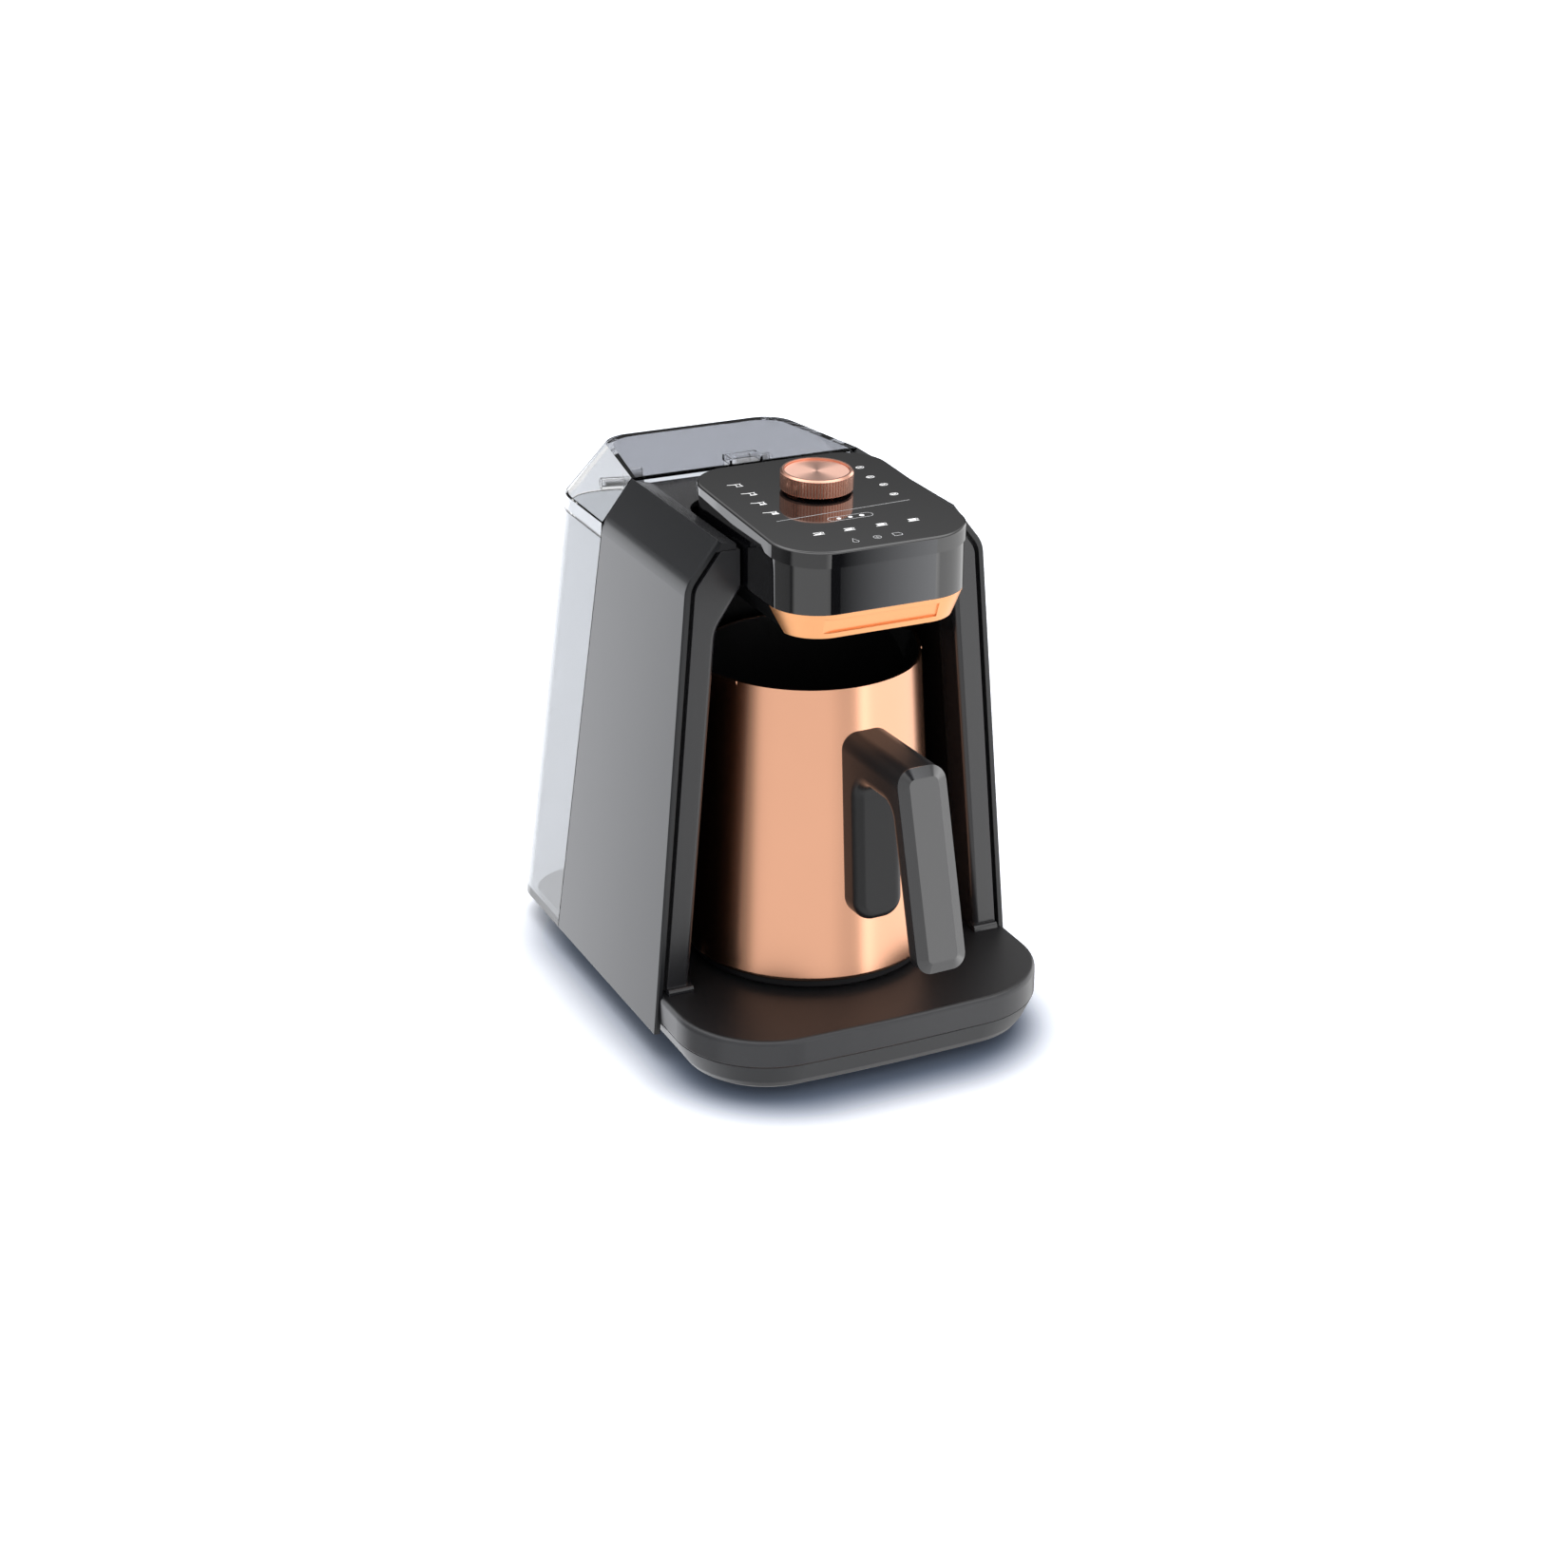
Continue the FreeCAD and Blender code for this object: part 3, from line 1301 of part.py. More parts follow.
def inlet_strainer():
    """Slotted cap over the valve, with the hole that guides the poppet's stem."""
    body = new_body("inlet_strainer", y="socket_y", x="-pump_x")
    top = "strainer_foot_z + strainer_height"
    rim = "spigot_flange_radius - 0.8"
    revolve(body, [(f"{rim} - strainer_wall", "strainer_foot_z"),
                   (rim, "strainer_foot_z"),
                   (rim, top),
                   ("poppet_stem + 0.3", top),
                   ("poppet_stem + 0.3", f"{top} - strainer_wall"),
                   (f"{rim} - strainer_wall", f"{top} - strainer_wall")])
    slot = [("-1.1", "strainer_foot_z + 2"), ("1.1", "strainer_foot_z + 2"),
            ("1.1", f"{top} - 2"), ("-1.1", f"{top} - 2")]
    cut = carve(body, "y", slot, f"{rim} - strainer_wall - 1", f"{rim} + 1")
    ring_pattern(body, cut, "strainer_slots")
    return body


def valve_poppet():
    body = new_body("valve_poppet", y="socket_y", x="-pump_x")
    revolve(body, [("0", "poppet_foot_z + 0.05"),
                   ("pin_radius + 0.4", "poppet_foot_z + 0.05"),
                   ("pin_radius + 0.4", "poppet_foot_z + 0.65"),
                   ("poppet_radius", "poppet_foot_z + 0.65"),
                   ("poppet_radius", "poppet_foot_z + poppet_wall"),
                   ("poppet_stem", "poppet_foot_z + poppet_wall"),
                   ("poppet_stem", "strainer_foot_z + strainer_height + 1.5"),
                   ("0", "strainer_foot_z + strainer_height + 1.5")])
    return body


def valve_seal():
    """Rubber washer under the poppet."""
    body = new_body("valve_seal", y="socket_y", x="-pump_x")
    revolve(body, [("pin_radius + 0.4", "poppet_foot_z + 0.05"),
                   ("poppet_radius", "poppet_foot_z + 0.05"),
                   ("poppet_radius", "poppet_foot_z + 0.65"),
                   ("pin_radius + 0.4", "poppet_foot_z + 0.65")])
    return body


def valve_spring():
    """Coil between the poppet and the strainer, with its wire kept clear of both."""
    wire = size("spring_wire")
    foot = size("poppet_foot_z + poppet_wall") + wire + 0.02
    top = size("strainer_foot_z + strainer_height - strainer_wall") - wire - 0.02
    turns = size("spring_turns")
    coil = Part.makeHelix((top - foot) / turns, top - foot, size("spring_radius"))
    coil.translate(Vector(0, 0, foot))
    start = Vector(size("spring_radius"), 0, foot)
    rim = Part.Wire([Part.Circle(start, Vector(0, 1, 0), wire).toShape()])
    shape = Part.Wire(coil.Edges).makePipeShell([rim], True, True)
    feature = doc.addObject("Part::Feature", "valve_spring")
    feature.Label = "valve_spring"
    feature.Shape = shape
    feature.setExpression("Placement.Base.x", bound("-pump_x"))
    feature.setExpression("Placement.Base.y", bound("socket_y - origin_shift"))
    nodes.append(feature)
    return feature


# Tank lid

def lid_plan(level, inset="0"):
    """Outline of the lid at its foot, at the shoulder or at the top."""
    front = f"seam_top_y + seam_gap + ({inset})"
    if level == "top":
        half, rear_half = f"ridge_half_width - ({inset})", f"lid_rear_half_width - ({inset})"
        rear, radius = f"lid_rear_y - ({inset})", f"lid_top_radius - ({inset}) * 0.5"
    else:
        z = "lid_foot_z" if level == "foot" else "shoulder_z"
        half = rear_half = skin_x(z, inset)
        rear, radius = f"tank_rear_top_y - ({inset})", f"tank_corner_radius - ({inset})"
    return [(half, front), (rear_half, rear, radius), (f"-({rear_half})", rear, radius), (f"-({half})", front)]


def tank_lid():
    body = new_body("tank_lid")
    loft(body, [(lid_plan("foot"), "lid_foot_z"), (lid_plan("shoulder"), "shoulder_z"),
                (lid_plan("top"), "ridge_z")])
    loft(body, [(lid_plan("foot", "lid_wall"), "lid_foot_z"),
                (lid_plan("shoulder", "lid_wall"), "shoulder_z - lid_wall * 0.4"),
                (lid_plan("top", "lid_wall * 1.3"), "ridge_z - lid_wall")], cut=True)
    lug_low = "lug_inner_x - barrel_gap"
    lug_high = "lug_inner_x + lug_width + barrel_gap"
    for low, high in ((lug_low, lug_high), (f"-({lug_high})", f"-({lug_low})")):
        carve(body, "x", [("hinge_y - hinge_radius - 0.8", "lid_foot_z - 1"),
                          ("tank_rear_top_y + 2", "lid_foot_z - 1"),
                          ("tank_rear_top_y + 2", "hinge_z + hinge_radius + 1.2"),
                          ("hinge_y - hinge_radius - 0.8", "hinge_z + hinge_radius + 1.2")], low, high)
    barrel_high = f"{lug_high} + barrel_width"
    for low, high in ((lug_high, barrel_high), (f"-({barrel_high})", f"-({lug_high})")):
        prism(body, "x", round_loop("hinge_y", "hinge_z", "hinge_radius"), low, high)
        carve(body, "x", round_loop("hinge_y", "hinge_z", "hinge_pin_radius + hinge_gap"), low,
              f"{high} - 1" if not high.startswith("-") else high)
    tab_front = "seam_top_y + seam_gap"
    prism(body, "z", [("-tab_half_width", tab_front), ("tab_half_width", tab_front),
                      ("tab_half_width", f"{tab_front} + tab_length"),
                      ("-tab_half_width", f"{tab_front} + tab_length")], "ridge_z - 1", "ridge_z + tab_height")
    carve(body, "z", [("-tab_half_width + tab_wall", f"{tab_front} - 1"),
                      ("tab_half_width - tab_wall", f"{tab_front} - 1"),
                      ("tab_half_width - tab_wall", f"{tab_front} + tab_length - tab_wall"),
                      ("-tab_half_width + tab_wall", f"{tab_front} + tab_length - tab_wall")],
          "ridge_z", "ridge_z + tab_height + 1")
    return body


def lid_pins():
    pins = []
    for low in ("lug_inner_x", "-(lug_inner_x + lug_width + barrel_gap + barrel_width - 2)"):
        pin = doc.addObject("Part::Cylinder", "Pin")
        pin.setExpression("Radius", bound("hinge_pin_radius"))
        pin.setExpression("Height", bound("lug_width + barrel_gap + barrel_width - 2"))
        pin.Placement = Placement(Vector(0, 0, 0), Rotation(Vector(0, 1, 0), 90))
        pin.setExpression("Placement.Base.x", bound(low))
        pin.setExpression("Placement.Base.y", bound("hinge_y - origin_shift"))
        pin.setExpression("Placement.Base.z", bound("hinge_z"))
        pins.append(pin)
    return compound("lid_pins", pins)


# Pot

def pot_profile(wall):
    """Half section of the pot's outside, or of its inside when a wall is given."""
    if wall == "0":
        return [("0", "pot_base_z"), ("pot_base_radius", "pot_base_z"), ("pot_base_radius", "pot_skirt_z"),
                ("pot_foot_radius", "pot_skirt_z", "pot_heel_radius"),
                ("pot_rim_radius", "pot_rim_z"), ("0", "pot_rim_z")]
    floor = "pot_base_z + pot_base_wall"
    return [("0", floor), (f"{pot_radius(floor)} - {wall}", floor, "pot_floor_radius"),
            (f"pot_rim_radius - {wall} - pot_taper", "pot_rim_z + 1"), ("0", "pot_rim_z + 1")]


def lip(body, side, wall, cut):
    """Pouring lip: a wedge with a round nose, its sides tangent to the rim."""
    shift = f"({wall}) * 1.09"

    def lip_plan(tip):
        shoulder = f"{tip} - lip_depth"
        return mirrored_x([("pot_rim_radius * 0.6", "-lip_half_width"), (shoulder, "-lip_half_width"),
                           (tip, "0", f"lip_nose_radius - ({wall})"), (shoulder, "lip_half_width"),
                           ("pot_rim_radius * 0.6", "lip_half_width")], side)
    low_z = "pot_rim_z - lip_drop"
    top_z = "pot_rim_z + 1" if cut else "pot_rim_z"
    loft(body, [(lip_plan(f"({pot_radius(low_z)} - 1.5 - {shift})"), low_z),
                (lip_plan(f"(pot_rim_radius + lip_reach - {shift})"), top_z)], cut=cut)


def pot_body():
    body = new_body("pot_body", y="pot_y", turn="pot_turn")
    revolve(body, pot_profile("0"))
    for side in (1, -1):
        lip(body, side, "0", cut=False)
    revolve(body, pot_profile("pot_wall"), cut=True)
    for side in (1, -1):
        lip(body, side, "pot_wall", cut=True)
    return body


def pot_base_ring():
    body = new_body("pot_base_ring", y="pot_y", turn="pot_turn")
    outer = "pot_foot_radius - pot_ring_inset - pot_heel_radius * 0.75"
    revolve(body, [("pot_base_radius", "pot_base_z"), (f"{outer} - 0.8", "pot_base_z"),
                   (outer, "pot_base_z + 0.8"), (outer, "pot_skirt_z"), ("pot_base_radius", "pot_skirt_z")])
    return body


def corner_cut(half, foot_z, radius, side):
    """What lies outside a round lower corner, seen from the front."""
    return mirrored_x([(half, f"{foot_z} - 5"), (f"{half} + 2", f"{foot_z} - 5"),
                       (f"{half} + 2", f"{foot_z} + {radius}"), (half, f"{foot_z} + {radius}"),
                       (half, foot_z, f"{radius} - 0.05"), (f"{half} - {radius}", foot_z),
                       (f"{half} - {radius}", f"{foot_z} - 5")], side)


def pot_handle():
    """Boss along the pot's wall, level arm and leaning grip, in the pot's own frame."""
    body = new_body("pot_handle", y="pot_y", turn="pot_turn")
    half = "arm_half_width"
    back = "grip_thickness * grip_slant"

    def boss_y(z):
        return f"(-({pot_radius(z)}) - boss_reach)"
    root = "6 - pot_rim_radius"
    prism(body, "x", [(root, "arm_top_z"),
                      (grip_y("arm_top_z"), "arm_top_z"),
                      (grip_y("grip_foot_z"), "grip_foot_z"),
                      (f"{grip_y('grip_foot_z')} + {back}", "grip_foot_z"),
                      (f"{grip_y('arm_under_z')} + {back}", "arm_under_z", "arm_inner_radius"),
                      (boss_y("arm_under_z"), "arm_under_z", "arm_inner_radius"),
                      (boss_y("boss_foot_z"), "boss_foot_z"),
                      (root, "boss_foot_z")], f"-{half}", half)
    middle_y = f"({boss_y('boss_foot_z')} + {grip_y('grip_foot_z')}) / 2"
    for side in (1, -1):
        carve(body, "y", corner_cut(half, "boss_foot_z", "boss_corner_radius", side), middle_y, "0")
        carve(body, "y", corner_cut(half, "grip_foot_z", "grip_corner_radius", side),
              f"{grip_y('grip_foot_z')} - 5", middle_y)

    def on_side(p):
        return abs(abs(p.x) - size(half)) < 0.01
    round_edges(body, "arm_edge_radius", lambda edge: on_side(middle(edge)) and near(middle(edge).z, "arm_top_z"))

    def inner_loop(edge):
        p = middle(edge)
        from_front_to_back = edge.BoundBox.YLength > 6 and edge.BoundBox.ZLength < 1.5
        across = from_front_to_back and p.z < size("boss_foot_z + boss_corner_radius") + 0.5
        below_arm = p.z < size("arm_under_z") + 0.5
        return below_arm and size(grip_y(p.z)) + 1 < p.y < size(boss_y(p.z)) + 0.3 and not across
    round_edges(body, "handle_edge_radius", inner_loop)
    cut_to_pot_wall(body)

    def seat_edge(edge):
        p = middle(edge)
        return abs(math.hypot(p.x, p.y) - size(pot_radius(p.z))) < 0.02
    round_edges(body, "seat_edge_radius", seat_edge)
    for z in ("stud_low_z", "stud_high_z"):
        carve(body, "y", round_loop("0", z, "stud_radius"), stud_tip(z), "0")
    return body


def stud_tip(z):
    return f"(-({pot_radius(z)}) - stud_length)"


def cut_to_pot_wall(body):
    """Ends a piece on the conical outside of the pot."""
    foot, rim = "pot_skirt_z", "pot_rim_z"
    revolve(body, [("0", foot), (f"-({pot_radius(foot)})", foot), (f"-({pot_radius(rim)})", rim), ("0", rim)],
            cut=True)


def handle_studs():
    """Two studs on the pot's wall that hold the handle."""
    studs = []
    for z in ("stud_low_z", "stud_high_z"):
        stud = doc.addObject("Part::Cylinder", "Stud")
        stud.setExpression("Radius", bound("stud_radius"))
        stud.setExpression("Height", bound("stud_length + 2"))
        stud.Placement = Placement(Vector(0, 0, 0), Rotation(Vector(1, 0, 0), -90))
        stud.setExpression("Placement.Base.y", bound(stud_tip(z)))
        stud.setExpression("Placement.Base.z", bound(z))
        wall = drum("0", "origin_shift", "pot_skirt_z", "pot_foot_radius", "pot_rim_z - pot_skirt_z",
                    "pot_rim_radius")
        trimmed = doc.addObject("Part::Cut", "Trimmed")
        trimmed.Base = stud
        trimmed.Tool = wall
        studs.append(trimmed)
    group = compound("handle_studs", studs)
    group.Placement = Placement(Vector(0, 0, 0), Rotation(Vector(0, 0, 1), 1))
    group.setExpression("Placement.Rotation.Angle", bound("pot_turn"))
    group.setExpression("Placement.Base.y", bound("pot_y - origin_shift"))
    return group


def grip_section(body, height, inset):
    """Outline of the insert on a plane that lies parallel to the grip's leaning face."""
    sketch = plane_sketch(body, "XZ_Plane", f"grip_head_reach + ({height}) / grip_slant")
    sketch.AttachmentOffset = Placement(Vector(0, 0, 0), Rotation(Vector(1, 0, 0), 1))
    sketch.setExpression("AttachmentOffset.Base.y", bound(f"arm_top_z + ({height}) * grip_lean / grip_slant"))
    sketch.setExpression("AttachmentOffset.Rotation.Angle", bound("-grip_tilt"))
    half, top = f"(arm_half_width - ({inset}))", f"-({inset})"
    foot = f"(({inset}) - (arm_top_z - grip_foot_z) * grip_slant)"
    head_radius, foot_radius = f"arm_edge_radius - ({inset})", f"grip_corner_radius - ({inset})"
    draw_polygon(sketch, [(half, foot, foot_radius), (half, top, head_radius),
                          (f"-{half}", top, head_radius), (f"-{half}", foot, foot_radius)])
    return sketch


def grip_insert():
    """Bevelled cap along the face of the grip."""
    body = new_body("grip_insert", y="pot_y", turn="pot_turn")
    sketches = [grip_section(body, "0", "0"), grip_section(body, "insert_wall - insert_bevel_depth", "0"),
                grip_section(body, "insert_wall", "insert_bevel")]
    cap = body.newObject("PartDesign::AdditiveLoft", "Loft")
    cap.Profile = sketches[0]
    cap.Sections = sketches[1:]
    cap.Ruled = True
    doc.recompute()
    return body


# Assembly

def build_all():
    for label, side in (("left_side_panel", -1), ("right_side_panel", 1)):
        side_panel(label, side)
    for label, side in (("left_column", -1), ("right_column", 1)):
        column(label, side)
    for make in (cavity_liner, top_cover, rear_wall, base_deck, base_shell, rubber_feet, base_screws,
                 heating_plate, heater_element, thermostat, head_housing, steam_hood, spout_trim,
                 control_panel, control_board, encoder_body, switch_plunger, knob_shaft, knob_sleeve,
                 knob_face, water_nozzle, overflow_sensor, water_pump, delivery_hose, supply_hose,
                 tank_socket, socket_seal, power_board, cord_gland, tank_shell, tank_grip, valve_body,
                 inlet_strainer, valve_poppet, valve_seal, valve_spring, tank_lid, lid_pins, pot_body,
                 pot_base_ring, pot_handle, handle_studs, grip_insert):
        make()


def centre_origin():
    """Puts the origin under the middle of the finished object."""
    doc.recompute()
    reach = [point.y for node in nodes for point in node.Shape.tessellate(0.05)[0]]
    sheet.set(shift_cell, f"{(min(reach) + max(reach)) / 2:.4f}")
    doc.recompute()


def check_document():
    for item in doc.Objects:
        if "Invalid" in item.State or "Error" in item.State:
            raise RuntimeError(f"{item.Label} failed: {item.State}")
    for node in nodes:
        if node.Shape.isNull() or not node.Shape.isValid():
            raise RuntimeError(f"{node.Label} has no valid shape")


build_all()
centre_origin()
check_document()
for node in nodes:
    node.Shape.exportStep(f"parts/{node.Label}.step")
print(len(nodes), "sub-parts written, origin moved back by", size("origin_shift"), "mm")
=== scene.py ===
import bpy
import bmesh
import math
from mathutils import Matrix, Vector


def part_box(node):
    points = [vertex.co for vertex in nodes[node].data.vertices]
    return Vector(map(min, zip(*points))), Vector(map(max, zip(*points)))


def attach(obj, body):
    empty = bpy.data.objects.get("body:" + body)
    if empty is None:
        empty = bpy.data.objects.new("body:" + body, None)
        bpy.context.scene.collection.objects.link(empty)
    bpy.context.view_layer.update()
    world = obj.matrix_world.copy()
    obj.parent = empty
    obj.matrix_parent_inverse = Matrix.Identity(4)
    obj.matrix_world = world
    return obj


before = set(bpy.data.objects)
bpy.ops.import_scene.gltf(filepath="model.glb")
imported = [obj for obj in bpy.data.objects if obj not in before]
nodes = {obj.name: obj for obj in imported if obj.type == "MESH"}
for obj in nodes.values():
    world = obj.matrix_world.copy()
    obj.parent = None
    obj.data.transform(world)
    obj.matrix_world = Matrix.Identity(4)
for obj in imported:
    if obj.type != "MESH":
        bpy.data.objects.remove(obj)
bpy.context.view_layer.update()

# Front face of the columns, in metres. The places that at() takes are in millimetres from there.
FACE_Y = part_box("left_side_panel")[0][1]
# Rise of the control panel per millimetre towards the rear, and the point where the knob's axis meets it.
PANEL_SLOPE = 0.045
KNOB = (0, 21, 240.878)


def at(x, y, z):
    return Vector((x / 1000, y / 1000 + FACE_Y, z / 1000))


# Camera

CAMERA_LENS = 66.5
CAMERA_PLACE = (-502.76, -1029.78, 608.81)
CAMERA_TOWARD = (0.3866, 0.8329, -0.3960)


def make_camera():
    data = bpy.data.cameras.new("Camera")
    data.lens = CAMERA_LENS
    data.sensor_width = 36
    data.clip_start = 0.01
    camera = bpy.data.objects.new("Camera", data)
    bpy.context.scene.collection.objects.link(camera)
    camera.location = at(*CAMERA_PLACE)
    camera.rotation_euler = Vector(CAMERA_TOWARD).to_track_quat("-Z", "Y").to_euler()
    bpy.context.scene.camera = camera


# Shader nodes

def node_of(tree, kind, **inputs):
    """New node. Inputs are named with underscores for spaces."""
    node = tree.nodes.new(kind)
    for name, value in inputs.items():
        node.inputs[name.replace("_", " ")].default_value = value
    return node


def feed(tree, socket, value):
    """Links socket to value where that is an output of another node, or else sets it."""
    if isinstance(value, bpy.types.NodeSocket):
        tree.links.new(value, socket)
    else:
        socket.default_value = value


def source(node, name):
    """Output that feeds the input name of node."""
    return node.inputs[name].links[0].from_socket


def math_node(tree, operation, *inputs):
    node = tree.nodes.new("ShaderNodeMath")
    node.operation = operation
    for socket, value in zip(node.inputs, inputs):
        feed(tree, socket, value)
    return node.outputs[0]


def vector_node(tree, operation, *inputs):
    """Vector maths. Gives a number for the operations that end in one, or else a vector."""
    node = tree.nodes.new("ShaderNodeVectorMath")
    node.operation = operation
    for socket, value in zip(node.inputs, inputs):
        feed(tree, socket, value)
    return node.outputs["Value" if operation in ("LENGTH", "DISTANCE", "DOT_PRODUCT") else "Vector"]


def mix_node(tree, kind, factor, first, second):
    """Blend of two numbers or two colours. kind is FLOAT or RGBA."""
    node = tree.nodes.new("ShaderNodeMix")
    node.data_type = kind
    for name, value in (("Factor", factor), ("A", first), ("B", second)):
        feed(tree, node.inputs[name], value)
    return node.outputs["Result"]


def mix_shader(tree, share, first, second):
    node = tree.nodes.new("ShaderNodeMixShader")
    for socket, value in zip(node.inputs, (share, first, second)):
        tree.links.new(value, socket)
    return node.outputs[0]


def axes(tree, vector):
    """X, Y and Z of a vector."""
    split = tree.nodes.new("ShaderNodeSeparateXYZ")
    tree.links.new(vector, split.inputs[0])
    return split.outputs


# Room and light


# How bright the studio is in mirror reflections, by compass angle from the front, degrees, left to right:
# at table height, and a little higher.
STUDIO_RING = [(-180, 0.12), (-150, 0.12), (-135, 0.3), (-112, 0.35), (-92, 0.35), (-84, 0.12), (-76, 1.05), (-3, 1.05),
               (5, 0.82), (22.5, 0.62), (29, 2.9), (38, 1.6), (122, 1.6), (132, 0.15), (180, 0.12)]
STUDIO_RING_HIGH = [(-180, 0.12), (-112, 0.25), (-84, 0.12), (-76, 0.8), (-8, 0.8), (8, 1.8), (60, 2.0), (122, 2.4),
                    (132, 0.15), (180, 0.12)]
# The same by height above the horizon, in degrees, for the ceiling and for the floor.
STUDIO_CEILING = [(-90, 0.5), (20, 0.5), (28, 0.75), (40, 1.0), (48, 2.3), (62, 2.3), (72, 1.1), (90, 1.0)]
STUDIO_FLOOR = [(-90, 0.6), (-75, 1.0), (-55, 1.35), (90, 1.35)]
RAMP_TOP = 3.4
# How much of the higher ring, of the ceiling and of the floor shows, by height above the horizon.
HIGH_SHARE = [(-90, 0), (-9, 0), (0, 1), (90, 1)]
CEILING_SHARE = [(-90, 0), (20, 0), (27, 1), (90, 1)]
FLOOR_SHARE = [(-90, 1), (-42, 1), (-26, 0), (90, 0)]
# Sky light on dull surfaces, and the soft sun above the object.
SKY_COLOUR = (0.95, 0.97, 1)
SKY_STRENGTH = 0.62
SUN_STRENGTH = 1.3
SUN_WIDTH = 60
SUN_TOWARD = (-0.10, -0.12, -1)


def ramp(tree, along, points, reach, top=RAMP_TOP):
    """Grey ramp through points, along an input that is 0 at -reach degrees and 1 at reach. Its values are shares
    of top."""
    node = tree.nodes.new("ShaderNodeValToRGB")
    stops = node.color_ramp.elements
    while len(stops) > 1:
        stops.remove(stops[-1])
    for i, (where, value) in enumerate(points):
        place = (where + reach) / (2 * reach)
        stop = stops[0] if i == 0 else stops.new(place)
        stop.position = place
        stop.color = (value / top, value / top, value / top, 1)
    tree.links.new(along, node.inputs[0])
    return node.outputs[0]


def studio_glow(tree):
    """Brightness of the room as polished surfaces see it."""
    where = tree.nodes.new("ShaderNodeTexCoord")
    x, y, z = axes(tree, where.outputs["Generated"])
    turn = math_node(tree, "ARCTAN2", x, math_node(tree, "MULTIPLY", y, -1.0))
    turn = math_node(tree, "MULTIPLY_ADD", turn, 0.5 / math.pi, 0.5)
    height = math_node(tree, "MULTIPLY_ADD", math_node(tree, "ARCSINE", z), 1 / math.pi, 0.5)
    light = ramp(tree, turn, STUDIO_RING, 180)
    for share, other in ((HIGH_SHARE, ramp(tree, turn, STUDIO_RING_HIGH, 180)),
                         (CEILING_SHARE, ramp(tree, height, STUDIO_CEILING, 90)),
                         (FLOOR_SHARE, ramp(tree, height, STUDIO_FLOOR, 90))):
        light = mix_node(tree, "FLOAT", ramp(tree, height, share, 90, 1), light, other)
    return math_node(tree, "MULTIPLY", light, RAMP_TOP)


def make_world():
    """The camera sees white, also through clear walls. Mirror reflections see the studio, and the rest plain sky."""
    world = bpy.data.worlds.new("Studio")
    bpy.context.scene.world = world
    world.use_nodes = True
    tree = world.node_tree
    tree.nodes.clear()
    out = tree.nodes.new("ShaderNodeOutputWorld")
    seen = node_of(tree, "ShaderNodeBackground", Color=(1, 1, 1, 1), Strength=1.0)
    lit = node_of(tree, "ShaderNodeBackground", Color=(*SKY_COLOUR, 1), Strength=SKY_STRENGTH)
    mirrored = node_of(tree, "ShaderNodeBackground", Color=(1, 1, 1, 1))
    path = tree.nodes.new("ShaderNodeLightPath")
    tree.links.new(studio_glow(tree), mirrored.inputs["Strength"])
    plain = math_node(tree, "MAXIMUM", path.outputs["Is Camera Ray"], path.outputs["Is Transmission Ray"])
    light = mix_shader(tree, path.outputs["Is Glossy Ray"], lit.outputs[0], mirrored.outputs[0])
    tree.links.new(mix_shader(tree, plain, light, seen.outputs[0]), out.inputs[0])


def make_sun():
    data = bpy.data.lights.new("Sky", "SUN")
    data.energy = SUN_STRENGTH
    data.angle = math.radians(SUN_WIDTH)
    sun = bpy.data.objects.new("Sky", data)
    bpy.context.scene.collection.objects.link(sun)
    sun.rotation_euler = Vector(SUN_TOWARD).to_track_quat("-Z", "Y").to_euler()
    sun.visible_glossy = False


CARD_COLOUR = (0.97, 0.985, 1.02)
# Cards beside the left side panel: a point on the panel, the way out from there, and the cards' own directions.
SIDE_POINT = (-86, 60, 110)
SIDE_OUT = (-0.397, 0.857, -0.326)
SIDE_ACROSS = (0.906, 0.42, 0)
SIDE_UP = (-0.137, 0.296, 0.945)
# How far out and how far down the cards stand, and how tall they are, in metres.
SIDE_AWAY = 0.26
SIDE_DOWN = 0.14
SIDE_HEIGHT = 0.75


def card(name, middle, across, up, width, height, strength, fade=None):
    """Flat glowing card beside the object. It shows in reflections only. fade gives two places along X, in
    metres, and the brightness at each, in place of strength."""
    across = Vector(across).normalized() * width / 2
    up = Vector(up).normalized() * height / 2
    mesh = bpy.data.meshes.new(name)
    mesh.from_pydata([middle - across - up, middle + across - up, middle + across + up, middle - across + up],
                     [], [(0, 1, 2, 3)])
    obj = bpy.data.objects.new(name, mesh)
    bpy.context.scene.collection.objects.link(obj)
    mat = bpy.data.materials.new(name)
    mat.use_nodes = True
    tree = mat.node_tree
    tree.nodes.clear()
    out = tree.nodes.new("ShaderNodeOutputMaterial")
    glow = node_of(tree, "ShaderNodeEmission", Color=(*CARD_COLOUR, 1), Strength=strength)
    tree.links.new(glow.outputs[0], out.inputs[0])
    if fade:
        where = tree.nodes.new("ShaderNodeNewGeometry")
        scale = tree.nodes.new("ShaderNodeMapRange")
        tree.links.new(axes(tree, where.outputs["Position"])[0], scale.inputs["Value"])
        for socket, value in zip(("From Min", "From Max", "To Min", "To Max"), fade):
            scale.inputs[socket].default_value = value
        tree.links.new(scale.outputs[0], glow.inputs["Strength"])
    mesh.materials.append(mat)
    obj.visible_camera = False
    obj.visible_diffuse = False
    obj.visible_shadow = False
    obj.visible_transmission = False


